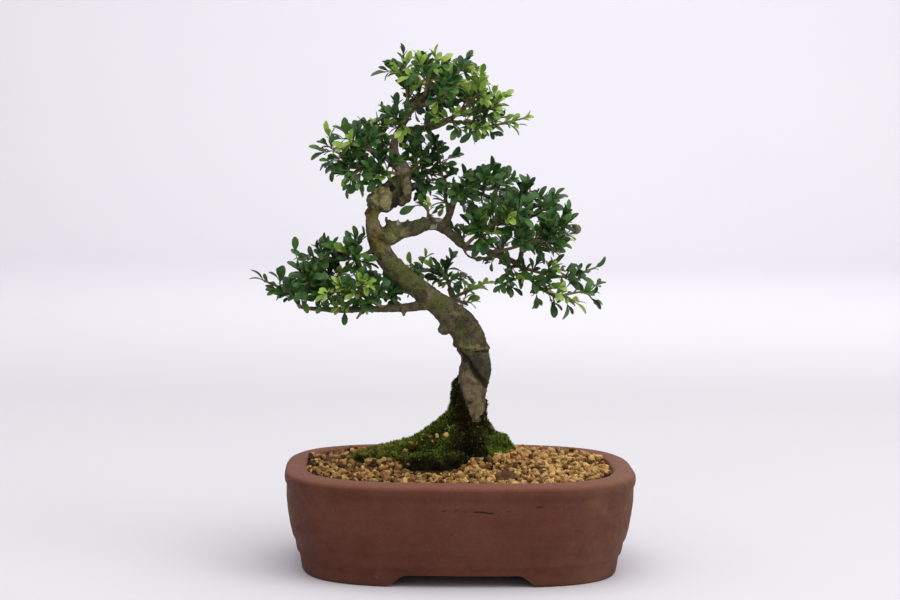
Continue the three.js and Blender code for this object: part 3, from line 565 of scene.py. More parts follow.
pot = {
    "halfWidth": 103, "halfDepth": 80, "planExponent": 3.1, "sides": 144, "footCutWidth": 89.4,
    "footCutTop": 7.0, "footCutSweep": 13, "floorTop": 12.5, "drainRadius": 9, "drainX": 42,
    "edgeRounding": 0.4, "wobble": 0.35, "wobbleWide": 22, "wobbleHigh": 90, "widen": 1.007, "shift": 0.7,
}
potProfile = [
    [40, 5.5], [82, 5.5], [82, 0], [91.6, 0], [92.4, 1], [93.2, 5], [93.8, 9.6], [94.4, 10.8],
    [95.4, 12.2], [96, 15], [96.3, 17.6], [96.9, 19], [98, 21], [99.6, 27], [100.9, 35], [101.8, 43],
    [101.8, 50], [101.9, 51.6], [102.7, 53], [103, 55], [102.8, 57], [101.8, 58.6], [99.6, 59.6],
    [96.5, 60], [92, 60], [90.3, 59.3], [89.5, 57.4], [89.6, 54], [92.4, 49], [91.4, 36], [90, 22],
    [80, 12.5], [40, 12.5],
]


def depthFor(halfWidth):
    return halfWidth - (pot["halfWidth"] - pot["halfDepth"]) * min(1, halfWidth / 60)


def makePotShell():
    reach, height = potProfile[0]
    bpy.ops.mesh.primitive_circle_add(
        vertices=pot["sides"], radius=1, location=(0, 0, 0), fill_type="NGON")
    piece = named("pot_body")
    power = 2 / pot["planExponent"]
    for vertex in piece.data.vertices:
        x, y = vertex.co.x, vertex.co.y
        vertex.co.x = math.copysign(abs(x) ** power, x) * reach * mm
        vertex.co.y = math.copysign(abs(y) ** power, y) * depthFor(reach) * mm
        vertex.co.z = height * mm
    openWhole(piece)
    for nextReach, nextHeight in potProfile[1:]:
        extrude(0, 0, (nextHeight - height) * mm)
        wider, deeper = nextReach / reach, depthFor(nextReach) / depthFor(reach)
        bpy.ops.transform.resize(value=(wider, deeper, 1), center_override=(0, 0, 0))
        reach, height = nextReach, nextHeight
    closeShell()
    wide, high = pot["wobbleWide"], pot["wobbleHigh"]
    for vertex in piece.data.vertices:  # a hand-pressed wall is never quite even
        x, y, z = vertex.co
        if z > 0.004:
            push = noise.noise(Vector((x * wide, y * wide, z * high))) * pot["wobble"] * mm
            vertex.co -= Vector((x, y, 0)).normalized() * (push + pot["wobble"] * mm * 0.6)
    piece.location = potAxis + Vector((pot["shift"] * mm, 0, 0))
    piece.scale.x = pot["widen"]
    settle(piece)
    return piece


# The opening under the front, its ends swept up in an S from the floor to the pot's underside
def makeFootCutter():
    half, top, sweep = pot["footCutWidth"] / 2, pot["footCutTop"], pot["footCutSweep"]
    cutter = makeGrid("footCutter", 42, 1)
    for vertex in cutter.data.vertices:
        x = vertex.co.x * 2 * half
        rise = min(1.0, (half - abs(x)) / sweep)
        z = top * (0.5 - 0.5 * math.cos(math.pi * rise)) + 0.01 if vertex.co.y > 0 else -2
        vertex.co = Vector((x * mm, -0.1, z * mm))
    openWhole(cutter)
    extrude(0, 0.2, 0)
    closeShell()
    cutter.location = potAxis + Vector((pot["shift"] * mm, 0, 0))
    settle(cutter)
    return cutter


def cutAway(piece, cutter):
    modifier = piece.modifiers.new("cut", "BOOLEAN")
    modifier.operation = "DIFFERENCE"
    modifier.solver = "EXACT"
    modifier.object = cutter
    applyModifiers(piece)
    removePiece(cutter)


def makePot():
    piece = makePotShell()
    cutAway(piece, makeFootCutter())
    for side in (-1, 1):
        bpy.ops.mesh.primitive_cylinder_add(
            vertices=48, radius=pot["drainRadius"] * mm, depth=0.03,
            location=(potAxis.x + side * pot["drainX"] * mm, 0, pot["floorTop"] * mm),
        )
        cutter = named("drainCutter")
        settle(cutter)
        cutAway(piece, cutter)
    bevel = piece.modifiers.new("edges", "BEVEL")
    bevel.width = pot["edgeRounding"] * mm
    bevel.segments = 3
    bevel.limit_method = "ANGLE"
    bevel.angle_limit = math.radians(24)
    applyModifiers(piece)
    setSmooth(piece, 40)
    setFinishes(piece, makeStoneware())
    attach(piece, "root")
    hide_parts("pot")
    print("pot made:", len(piece.data.polygons), "faces")


makePot()

# Wood: tapered limbs and burls grown together, then worked over with ridges, knots and creases

trunk = [
    [6, 9, 46, 12], [6, 9, 64, 13], [6, 9, 73, 11.5], [6, 9, 82, 9.8], [7, 8, 92, 9.2], [8, 7, 102, 9.2],
    [9, 6, 112, 9.3], [9.5, 5, 120, 8.6], [9, 4, 124, 8.6], [7.3, 3, 131, 9.5], [2.2, 1, 141.2, 9.2],
    [-7.2, -1, 150.4, 8.2], [-17, -3, 158.2, 6.6], [-26, -4, 165.6, 5.8], [-35.6, -4, 173.2, 5.6],
    [-43.2, -3, 181, 5.5], [-48, -2, 189, 5.5], [-51, -1, 198, 4.9], [-52, 0, 206, 4.2],
    [-51.4, 0, 212, 4.8], [-47, 1, 218, 6], [-40, 3.5, 224.5, 4.6], [-34, 4, 229, 5], [-35, 4, 236, 4],
    [-39, 3, 241, 3.2], [-40, 2, 246, 2.8], [-39, 1, 252, 2.5], [-36, 1, 259, 2.4], [-32, 0, 267, 2.2],
    [-27, 0, 273, 1.9], [-22, -1, 278, 1.4],
]
branches = {
    "left": [[-17, -3, 157, 4.2], [-22, -5, 155, 3.3], [-32, -7, 153.5, 2.6], [-45, -9, 153, 2.1],
        [-58, -10, 152.5, 1.9], [-71, -10, 152, 1.8], [-86, -8, 152.5, 1.4], [-94, -7, 153, 1]],
    "leftUpper": [[-48, -2, 188, 1.8], [-58, -3, 184, 1.3], [-68, -1, 181, 1.1]],
    "right": [[-50, 0, 193, 5.5], [-43, -3, 195.5, 5.9], [-36, -4, 198.5, 4.9], [-27, -4, 200.5, 4.2],
        [-18, -3, 203, 4.1], [-12, -2, 201.5, 3.7], [-5, -2, 196, 3], [2, -4, 190, 2.2],
        [12, -6, 188, 1.9], [23, -6, 184.5, 1.9], [35, -6, 178.5, 1.8], [40, -6, 172, 1.3]],
    "rightRising": [[-10, -2, 201, 2.6], [-6.5, 0, 209, 2.2], [-4, 2, 216, 2], [0, 4, 221.5, 1.6],
        [9, 7, 223.5, 1.3]],
    "rightStem": [[34, -6, 179, 1.8], [36, -3, 188, 1.6], [35.5, 1, 196, 1.3]],
    "back": [[-4, 0, 152, 3], [-3.5, 9, 157, 2.2], [-5.5, 16, 163, 1.8]],
    "upperLeft": [[-35, 4, 232, 2.6], [-44, -3, 241, 1.9], [-52, -9, 245, 1.4]],
    "apexRight": [[-38, 1, 256, 2.3], [-27, 2, 258, 2.1], [-17, 2, 259.5, 1.9], [-9, 0, 263, 1.7],
        [-2, -2, 268, 1.4]],
    "apexFront": [[-29, 0, 271, 1.9], [-20, -4, 273, 1.5], [-14, -8, 276, 1.2]],
}
roots = [
    [[2, 9, 86, 7], [-14, 7, 74, 6.3], [-33, 3, 65.5, 4.4], [-60, -5, 54, 2.4]],
    [[2, 6, 80, 7], [-8, -9, 66, 5.5], [-18, -24, 53, 3]],
    [[9, 9, 84, 6], [20, 6, 70, 5], [34, 2, 54, 2.6]],
    [[9, 5, 78, 6], [15, -7, 66, 4.5], [20, -18, 54, 2.8]],
    [[6, 13, 80, 7], [2, 24, 66, 5], [-4, 36, 53, 3]],
]
stubs = [
    [[-41, -3, 196, 4.8], [-40.3, -3, 201.5, 4.1], [-40, -3, 205, 3.9]],
    [[-43.6, -4, 203, 1], [-44.3, -4.5, 207.3, 0.7]],
    [[-37.6, -5, 203, 0.9], [-36.8, -5.6, 206.4, 0.6]],
    [[-33, -4, 201, 1.3], [-31.2, -5, 205.6, 0.7]],
    [[-33, -7, 152, 1.3], [-33.5, -7.5, 148.5, 1]],
    [[-57, -10, 152.5, 1], [-57.4, -11, 149.5, 0.7]],
    [[-22, -4, 203, 1.2], [-22.5, -5.4, 207, 1]],
    [[1.2, -3, 190.5, 1.1], [3, -5, 185.4, 0.85], [7, -6, 183, 0.8], [13, -6.4, 182.8, 0.8],
        [20, -6, 184.6, 0.9]],
    [[-7.4, 0, 208, 1.2], [-9.5, 3, 220, 0.95], [-12, 6, 236, 0.85], [-15, 8, 251, 0.7]],
]
burls = [
    [-45.2, 0.5, 216.4, 6.4, 7, 7.6], [-52.6, 0.5, 215.4, 3.7, 5, 4.8], [-47, 0.5, 221.2, 6, 5.8, 3.8],
    [-33.4, 2.2, 222.8, 4.9, 5.8, 9.8], [-35.8, 1.5, 215.6, 3.4, 4.4, 3.4], [-39, 4.5, 217, 3.4, 3.6, 6],
    [-9.2, -2.5, 141.4, 3.2, 4.2, 4],
]

# Knots stand out of the bark and hollows sink into it: [x, y, z, reach, height]
knots = [
    [-16, -8, 201, 2.2, 1.5], [-12.4, -6, 140.8, 3, 1.1], [-12.6, -6.5, 142.3, 1.1, -1.2],
    [1, -6, 133, 4, 0.7], [-47, -8, 219, 6.5, 0.9], [-42, -6, 213, 3.5, 0.7], [-54, -4, 217, 3, 1.0],
    [-33, -3, 230, 3.5, 0.9], [-31, -1, 219, 3, 0.8], [-27, -10, 172, 4, 0.6], [14, -4, 136, 5, 0.7],
    [-43, -8, 176, 4, 0.7], [18, 0, 116, 5, 1.6], [14, 3, 120, 4, 0.6], [-1.5, 2, 122.5, 2.4, -1.5],
    [-22, -8, 158, 4, 0.8], [-26, -6, 197, 3, 0.7], [-20, 8, 166, 5, 0.9], [12, 14, 130, 5, 0.9],
    [-48, 8, 212, 4, 0.9], [0, 10, 146, 4, 0.8], [-40.2, -3, 206.5, 2.4, -2.6], [-49, -9, 213, 2.5, 0.5],
    [-52, -4, 200, 2.4, 0.5], [-40, -8, 193, 5, 1.0], [-18, -4, 206.5, 1.8, 0.9],
    [-13, -3.5, 205.5, 1.7, 0.8], [-9, -4, 202.5, 2, 0.7], [-38, -4, 236, 3, 0.7],
    [-64, -10, 152.5, 2.2, 0.5], [-76, -10, 152, 2.2, 0.5], [-44, -10, 153, 2.4, 0.5],
    [22, -7, 185, 2.4, 0.5], [3, 9, 190, 3, 0.6], [-6, -11, 152, 5, 0.5], [-16, -11, 160, 3.5, 0.7],
]
# Creases: half width, depth, then the points they run through; a depth below zero makes a raised welt
creases = [
    [0.9, 1.7, [-3, 4, 128.5], [1, -4, 128.4], [9, -6.5, 127.3], [17, -4, 127.6], [20, 3, 127]],
    [2.3, -1.1, [-3, 4, 131], [1, -4, 131], [8, -6.5, 130], [15, -4, 129.5], [19, 3, 129]],
    [1.3, 3.3, [-1, 0, 126], [1.4, -3, 124.6], [4.7, -5, 119.6], [10.2, -5, 114.1], [15.9, -2, 108.2],
        [18, 5, 105]],
    [1.6, -0.6, [1, -3, 117.5], [5, -4.5, 112.5], [10, -4.5, 108], [15, -2, 104.5]],
    [1.4, 3.2, [-41, -4, 229], [-39.9, -5, 225], [-38, -5, 221], [-38.4, -4, 216], [-39.6, -3, 212]],
    [0.8, 1.4, [-57, 0, 212], [-52.3, -6, 210.8], [-48.3, -7, 209.3], [-44, -5, 208.6]],
    [0.9, 1.1, [-50.4, -5, 222], [-49.6, -7, 217.5], [-50.6, -6, 212.5]],
    [0.9, 1.5, [-53, -5, 195.6], [-47.2, -8, 192.6], [-43.5, -8, 190.9], [-40, -5, 191.2]],
    [1.2, -0.6, [-57, 0, 208.4], [-53, -5, 207.6], [-48, -6.5, 206.6]],
    [0.9, 0.8, [-24, -11, 167], [-20, -12, 162], [-15, -12, 158], [-8, -12, 155]],
    [0.9, 0.7, [-33, -10, 160], [-27, -11, 158], [-22, -10, 154]],
    [0.8, 0.6, [-9, -10, 152], [-4, -11, 147], [-3, -10, 140]],
    [1.1, 1.2, [-51, -7, 198], [-47, -9, 194], [-43, -9, 190], [-37, -9, 188]],
    [0.8, 0.6, [-50, -6, 186], [-44, -9, 184], [-39, -9, 186]],
    [0.8, 0.9, [-34, -7, 203], [-33, -9, 198], [-30, -8, 194]],
    [1.6, 1.2, [12, 10, 112], [6, 14, 122], [0, 10, 132]],
    [0.8, 0.5, [4, -5, 138], [10, -6, 134], [14, -5, 131]],
]
wood = {
    "voxel": 0.66, "softRounds": 5, "markReach": 2.4, "ridgeDepth": 0.15, "ridgeWidth": 2.6,
    "pitDepth": 0.26, "pitSize": 1.7, "bandDepth": 0.34, "crags": [-43, 0, 219, 16], "cragSize": 6.5,
    "cragHeight": 1.1,
}


limbs = [trunk, *branches.values(), *roots, *stubs]


def pointTree(places):
    tree = KDTree(len(places))
    for i, place in enumerate(places):
        tree.insert(place, i)
    tree.balance()
    return tree


def limbSamples():
    samples = []
    for points in limbs:
        path = samplePath(points, 1.2)
        walked = 0.0
        for i, (place, radius) in enumerate(path):
            ahead = path[min(i + 1, len(path) - 1)][0]
            behind = path[max(i - 1, 0)][0]
            walked += (place - path[i - 1][0]).length if i else 0.0
            samples.append((place, radius, (ahead - behind).normalized(), walked))
    return samples


# The creases' and the knots' points, each moved to the nearest point of the bare wood's surface
def surfaceMarks(piece):
    surface = treeOf(piece)
    marks = [(Vector(knot[:3]), knot[3], -knot[4], None) for knot in knots]
    for number, (reach, depth, *points) in enumerate(creases):
        line = samplePath([[*point, 0] for point in points], 0.6)
        marks += [(place, reach, depth, number) for place, _ in line]
    marks = [((surface.find_nearest(spot(place))[0] - potAxis) / mm, *rest) for place, *rest in marks]
    return marks, pointTree([place for place, *_ in marks])


# How deep the marks near a point sink the bark, knots and creases apart
# Of one crease only the nearest point counts
def markDepths(point, marks, tree):
    swell, nearest = 0.0, {}
    for _, i, away in tree.find_range(point, 12):
        _, reach, depth, number = marks[i]
        away /= reach
        if away > wood["markReach"]:
            continue
        if number is None:
            swell += depth * math.exp(-away * away)
        elif away < nearest.get(number, (9, 0))[0]:
            nearest[number] = (away, depth)
    return swell, [depth * math.exp(-away * away) for away, depth in nearest.values()]


def workBark(piece):
    samples = limbSamples()
    tree = pointTree([place for place, *_ in samples])
    marks, markTree = surfaceMarks(piece)
    mesh = piece.data
    moves, ridges = [], []
    for vertex in mesh.vertices:
        point = (vertex.co - potAxis) / mm
        _, i, _ = tree.find(point)
        place, radius, along, walked = samples[i]
        outward = point - place
        across = along.orthogonal().normalized()
        angle = math.atan2(outward.dot(along.cross(across)), outward.dot(across))
        around = Vector((math.cos(angle), math.sin(angle), 0)) * max(radius, 2) / wood["ridgeWidth"]
        ridge = noise.noise(Vector((around.x, around.y, walked * 0.12)) + along * 0.4)
        band = noise.noise(Vector((around.x * 0.4, around.y * 0.4, walked * 0.55 + 7)))
        pits = noise.noise(point / wood["pitSize"]) + 0.6 * noise.noise(point * 2.1 / wood["pitSize"])
        size = min(1.0, radius / 6.0)
        move = ridge * wood["ridgeDepth"] * 2 + band * wood["bandDepth"] + pits * wood["pitDepth"]
        move = move * (0.3 + 0.7 * size) + noise.noise(point / 8) * 0.9 * size
        swell, grooves = markDepths(point, marks, markTree)
        if (point - Vector(wood["crags"][:3])).length < wood["crags"][3]:
            split = noise.voronoi(point / wood["cragSize"])[0]
            move += wood["cragHeight"] * (min(1.0, (split[1] - split[0]) / 0.35) - 0.75)
        moves.append(vertex.normal * (move - swell - sum(grooves)) * mm)
        # Painted shade: the deeper a crease or a hollow sinks the bark here, the darker it is painted
        markShade = max([0.0, swell * 0.6, *grooves])
        ridges.append(0.5 + ridge * 0.3 + band * 0.25 - markShade * 0.4 + pits * 0.22)
    for vertex, move in zip(mesh.vertices, moves):
        vertex.co += move
    setAttribute(mesh, "barkRidgeShade", ridges)


def makeWood():
    tubes = makeTubes([(samplePath(points, 1.5), 0) for points in limbs], "limbs", 6)
    piece = joined([tubes, *[makeBall(*burl) for burl in burls]], "tree_wood")
    regrow(piece, wood["voxel"], wood["softRounds"])
    workBark(piece)
    setSmooth(piece)
    setFinishes(piece, finishes["bark"])
    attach(piece, "root")
    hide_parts("wood")
    print("wood made:", len(piece.data.polygons), "faces")
    return piece


treeWood = makeWood()
woodTree = treeOf(treeWood)

# Foliage: each spray's stem and twigs, with side shoots, and leaves round the shoots

# A spray: its limb, how far along it, the stem's bends, and tips [how far along the stem, x, y, z]
sprays = {
    "left_spray_01": ["left", 1, [[-97, -9, 158], [-102, -11, 163]],
        [[1, -121, -12, 172], [0.6, -98, -22, 161], [0.5, -101, 4, 160]]],
    "left_spray_02": ["left", 0.72, [[-79, -14, 162], [-86, -18, 169]],
        [[1, -98, -22, 179], [1, -94, -33, 168], [0.5, -77, -30, 166]]],
    "left_spray_03": ["left", 0.68, [[-71, -5, 160], [-74, 3, 167], [-77, 6, 175]],
        [[1, -81, 8, 187], [1, -69, 2, 190], [0.7, -93, 15, 171], [0.5, -71, 20, 173]]],
    "left_spray_04": ["leftUpper", 1, [[-79, 0, 181]],
        [[1, -99, 2, 182], [0.3, -80, -13, 190], [0.6, -91, -11, 175]]],
    "left_spray_05": ["leftUpper", 0.6, [], [[0, -63, -7, 199]]],
    "left_spray_06": ["left", 0.42, [[-54, -16, 159], [-61, -22, 164]],
        [[1, -75, -33, 169], [1, -57, -35, 174], [0.5, -50, -28, 161]]],
    "left_spray_07": ["left", 0.3, [[-41, 4, 158], [-47, 13, 162]],
        [[1, -58, 24, 173], [1, -36, 24, 166], [0.5, -31, 11, 170]]],
    "left_spray_08": ["left", 0.56, [], [[0, -63, 4, 143]]],
    "upper_spray_01": ["upperLeft", 1, [[-60, -13, 248]],
        [[1, -73, -18, 260], [1, -73, -25, 247], [0.4, -58, -27, 256]]],
    "upper_spray_02": ["upperLeft", 0.6, [], [[0, -57, -15, 260]]],
    "upper_spray_03": ["trunk", 0.835, [[-48, 9, 246], [-54, 16, 251]],
        [[1, -68, 24, 258], [1, -52, 25, 264], [0.4, -47, 6, 266], [0.7, -60, 30, 245]]],
    "upper_spray_04": ["trunk", 0.745, [[-44, -8, 233], [-57, -12, 235]],
        [[1, -79, -12, 236], [1, -69, -25, 227], [0.6, -54, -21, 230], [0.7, -64, 3, 241]]],
    "middle_spray_01": ["trunk", 0.765, [[-27, 11, 235], [-19, 16, 237]],
        [[1, -10, 20, 242], [1, -19, 27, 249], [0.6, -21, 22, 222], [0.5, -20, 2, 246]]],
    "middle_spray_02": ["right", 0.35, [], [[0, -20, -10, 219]]],
    "apex_spray_01": ["trunk", 0.93, [[-32, 5, 276], [-33, 6, 285]],
        [[1, -35.5, 6, 307.5], [1, -44, 10, 298], [0.6, -30, 20, 292]]],
    "apex_spray_02": ["trunk", 1, [[-20.5, -5, 286], [-19.5, -6, 292]],
        [[1, -24, -5, 303.5], [0.5, -30, -21, 293], [0.3, -14, 9, 291]]],
    "apex_spray_03": ["trunk", 0.98, [[-21, 10, 277], [-14, 18, 281]],
        [[1, -8, 14, 297], [1, -11, 32, 292], [0.4, -30, 23, 277]]],
    "apex_spray_04": ["apexFront", 1, [[-8, -11, 281]],
        [[1, 1, -8, 298], [1, -9, -28, 287], [0.3, -19, -23, 275]]],
    "apex_spray_05": ["apexRight", 1, [[4, -2, 274]],
        [[1, 13, 1, 295], [1, 13, -17, 283], [0.3, 4, 14, 277]]],
    "apex_spray_06": ["apexRight", 0.93, [[7, 2, 268], [16, 2, 271]],
        [[1, 29, 2, 280], [0.6, 24, -12, 270], [0.5, 14, 18, 264]]],
    "apex_spray_07": ["apexRight", 0.75, [[2, 0, 262], [13, 0, 260]],
        [[1, 41, 0, 266], [0.5, 15, -15, 258], [0.2, -4, -15, 256]]],
    "apex_spray_08": ["apexRight", 0.4, [], [[0, -22, -14, 262]]],
    "right_spray_01": ["rightRising", 1, [[19, 9, 223.5]],
        [[1, 26, 12, 236], [1, 33, -2, 229], [0.5, 14, -14, 231], [0.4, 7, 24, 231]]],
    "right_spray_02": ["rightRising", 0.62, [], [[0, 2, -6, 226]]],
    "right_spray_03": ["rightRising", 0.9, [[18, 17, 218], [36, 21, 215]],
        [[1, 44, 13, 229], [1, 49, 28, 219], [0.6, 27, 35, 212], [0.3, 14, 30, 211]]],
    "right_spray_04": ["right", 0.64, [[8, -12, 196], [16, -19, 202], [24, -24, 207]],
        [[1, 27, -39, 218], [1, 39, -33, 214], [0.5, 6, -29, 208], [0.4, 15, -31, 192],
         [0.8, 17, -14, 217]]],
    "right_spray_05": ["rightStem", 1, [[38, 5, 204]],
        [[1, 55, 1, 216], [1, 60, 14, 219], [0.4, 36, 30, 205], [0.8, 27, 2, 214]]],
    "right_spray_06": ["right", 0.78, [[31, -13, 190], [41, -18, 194], [49, -21, 198]],
        [[1, 53, -32, 213], [1, 66, -17, 206], [0.6, 63, -26, 193], [0.4, 32, -33, 198]]],
    "right_spray_07": ["right", 0.62, [], [[0, 3, 14, 199]]],
    "right_spray_08": ["rightStem", 0.45, [[45, 5, 190], [52, 7, 191]],
        [[1, 66, 7, 194], [0.6, 51, 24, 189], [1, 62, -6, 202]]],
    "right_spray_09": ["right", 0.92, [[46, 0, 174.5], [56, 3, 172], [65, 4, 172]],
        [[1, 86, 4, 179], [0.5, 56, -13, 181], [0.6, 63, 20, 176], [1, 74, 9, 168]]],
    "right_spray_10": ["right", 1, [[46, -8, 166.5], [55, -10, 162]],
        [[1, 78, -12, 165], [1, 73, -14, 156], [0.7, 60, -25, 168]]],
    "right_spray_11": ["right", 0.86, [], [[0, 25, -18, 170]]],
    "right_spray_12": ["right", 0.83, [], [[0, 25, 14, 193]]],
    "back_spray_01": ["back", 1, [[-8, 21, 169]],
        [[1, -27, 25, 176], [1, -10, 24, 180], [0.5, -2, 30, 169]]],
    "back_spray_02": ["back", 0.6, [], [[0, 20, 20, 168]]],
    "back_spray_03": ["back", 0.45, [], [[0, 12, 17, 154]]],
}
# Finer twigs, each to its tip from what is nearest: its spray's own twigs, or a limb
moreTwigs = {
    "apex_spray_02": [[-11, 2, 299]],
    "apex_spray_04": [[1, 4, 295], [-4, -7, 268]],
    "apex_spray_03": [[-7, 12, 272], [-10, 15, 281], [8, 8, 292]],
    "apex_spray_08": [[-18, 14, 271], [-31, 11, 272], [-37, -9, 262], [-43, -2, 268]],
    "middle_spray_01": [[-34, 12, 260], [-28, 13, 251], [-22, 19, 233], [-17, 15, 226], [-8, 13, 223],
        [-31, 12, 245], [-27, 12, 226], [-24, 8, 228], [-14, 17, 247], [-7, 15, 236]],
    "middle_spray_02": [[-12, 10, 215], [1, 7, 215]],
    "upper_spray_04": [[-66, -20, 225], [-41, -11, 240]],
    "upper_spray_01": [[-76, -8, 232], [-81, -13, 250]],
    "left_spray_06": [[-78, -25, 159], [-62, -15, 158], [-71, -17, 159]],
    "left_spray_01": [[-90, -16, 166]],
    "left_spray_02": [[-88, -20, 168], [-84, -14, 159]],
    "left_spray_07": [[-39, 0, 161], [-29, 2, 162], [-47, -2, 159]],
    "left_spray_03": [[-66, -12, 181], [-57, -6, 180], [-69, -10, 187]],
    "right_spray_11": [[28, -4, 167], [37, -10, 178], [18, 2, 179], [43, -14, 169], [47, -6, 165]],
    "right_spray_10": [[80, -5, 157]],
    "right_spray_07": [[14, 16, 201]],
    "right_spray_02": [[8, 6, 226], [-3, -9, 221], [6, -3, 213]],
    "back_spray_01": [[-30, 12, 174], [-23, 14, 165], [-9, 15, 166]],
}
# How full a spray is, where that is less than 1
sparseSprays = {
    "right_spray_08": 0.75, "right_spray_09": 0.36, "right_spray_10": 0.36, "right_spray_11": 0.85,
    "right_spray_05": 0.8, "right_spray_03": 0.85, "right_spray_02": 0.7, "left_spray_07": 0.85,
    "left_spray_08": 0, "left_spray_01": 0.62, "left_spray_04": 0.8, "left_spray_03": 0.9,
    "left_spray_05": 0.7, "apex_spray_01": 0.8, "apex_spray_06": 0.9, "upper_spray_01": 0.75,
    "right_spray_01": 0.85, "upper_spray_02": 0.7, "upper_spray_03": 0.7, "back_spray_01": 0.65,
    "back_spray_02": 0.55, "back_spray_03": 0.7, "middle_spray_01": 0.8,
}
# Single leaves that stand out: root and tip
looseLeaves = {
    "middle_spray_02": [[[-27, -6, 213.5], [-36, -8, 209]]],
    "left_spray_08": [[[-68, -11, 151.5], [-68, -12.5, 143.5]]],
    "left_spray_02": [[[-97, -14, 186], [-97, -14, 195]]],
    "upper_spray_04": [[[-48, -8, 231], [-50, -10, 226.5]], [[-44, -8, 232], [-41.5, -10, 228]],
        [[-41, -6, 229], [-38.6, -8.5, 225]]],
}
berry = {"at": [67, -14, 201], "radius": 2.9, "spray": "right_spray_06", "along": 0.6, "clearance": 4.6}
foliage = {
    "seed": 4, "leafLength": 8.2, "leafWidth": 3.78, "leafThickness": 0.032, "leafSpacing": 1.36,
    "clearance": 1.8, "barkClearance": 1.6, "lean": 62, "leanLost": 38, "leanSpread": 18,
    "shootSpacing": 3.9, "shootLength": 9.0, "stemRadius": 1.0, "twigRadius": 0.7, "shootRadius": 0.38,
    "turn": math.radians(137.5), "looseTone": 0.25,
}
# How many of a spray's shoots carry young lime leaves
youngShare = {
    "apex": 0.5, "upper": 0.1, "middle": 0.25, "left": 0.1, "right": 0.1, "back": 0.4,
    "apex_spray_02": 0.6, "apex_spray_04": 0.4, "apex_spray_05": 0.85, "apex_spray_06": 0.75,
    "apex_spray_08": 0.1, "left_spray_06": 0.3, "right_spray_10": 0.3,
}
upwards = Vector((0, 0, 1))
towardsLight = Vector((0.06, -0.3, 0))  # the leaves turn a little to the open side


def setLeafFinishes(piece):
    setFinishes(piece, *[finishes[name] for name in ("woodyStem", "youngStem", "leafTop", "leafUnder")])


# One leaf, root at the origin and tip along Y: an oval, arched and folded at its rib
def makeLeaf():
    leaf = makeGrid("leafTemplate", 2, 6, (0, 0.5, 0))
    settle(leaf)
    outline = [0.12, 0.3, 0.66, 0.92, 1.0, 0.84, 0.36]
    for vertex in leaf.data.vertices:
        along = vertex.co.y
        row = round(along * 6)
        side = vertex.co.x * 2
        tooth = 1 + (0.035 if row % 2 else -0.02) * abs(side)
        vertex.co.x = side * 0.5 * outline[row] * tooth * foliage["leafWidth"] / foliage["leafLength"]
        folded = 0.055 * abs(side) ** 1.3 * outline[row]
        vertex.co.z = folded + 0.075 * math.sin(math.pi * along) - 0.06 * along ** 2
        vertex.co.y = along + 0.02 * (1 - abs(side)) * (1 if row == 6 else 0)
    setFinishes(leaf, finishes["leafTop"], finishes["leafUnder"])
    thick = thicken(leaf, foliage["leafThickness"])
    thick.offset = -1
    thick.material_offset = 1
    applyModifiers(leaf)
    leaf.data.transform(Matrix.Scale(foliage["leafLength"] * mm, 4))
    setSmooth(leaf, 60)
    setUniform(leaf.data, "leafTone", 0)
    setLeafFinishes(leaf)
    for face in leaf.data.polygons:
        face.material_index += 2
    return leaf


def tilted(direction, spread, chance):
    turned = Vector((chance.random() - 0.5, chance.random() - 0.5, chance.random() - 0.5))
    return (direction + turned * 2 * spread).normalized()


def bowedPath(start, end, lift, radii, chance):
    reach = (end - start).length
    middle = start.lerp(end, 0.5) + upwards * reach * lift + tilted(Vector(), 1, chance) * reach * 0.06
    points = [[*start, radii[0]], [*middle, (radii[0] + radii[1]) / 2], [*end, radii[1]]]
    return samplePath(points, 2.2)


takenCells = {}


def isTaken(place):
    size = foliage["clearance"]
    cell = tuple(int(c // size) for c in place)
    for x in range(cell[0] - 1, cell[0] + 2):
        for y in range(cell[1] - 1, cell[1] + 2):
            for z in range(cell[2] - 1, cell[2] + 2):
                if any((other - place).length < size for other in takenCells.get((x, y, z), [])):
                    return True
    takenCells.setdefault(cell, []).append(place)
    return False


def leafPlacing(root, along, face, length, width):
    across = along.cross(face).normalized()
    face = across.cross(along)
    turn = Matrix((across, along, face)).transposed().to_4x4()
    stretch = Matrix.Diagonal((width, length, length, 1))
    return Matrix.Translation(spot(root)) @ turn @ stretch


def pathLength(path):
    return sum((b[0] - a[0]).length for a, b in zip(path, path[1:]))


# A path's step at a position, its direction there, and the way out of it at an angle
def roundPath(path, position, angle):
    i = min(int(position), len(path) - 2)
    along = (path[i + 1][0] - path[i][0]).normalized()
    side = along.orthogonal().normalized()
    return i, along, side * math.cos(angle) + along.cross(side) * math.sin(angle)


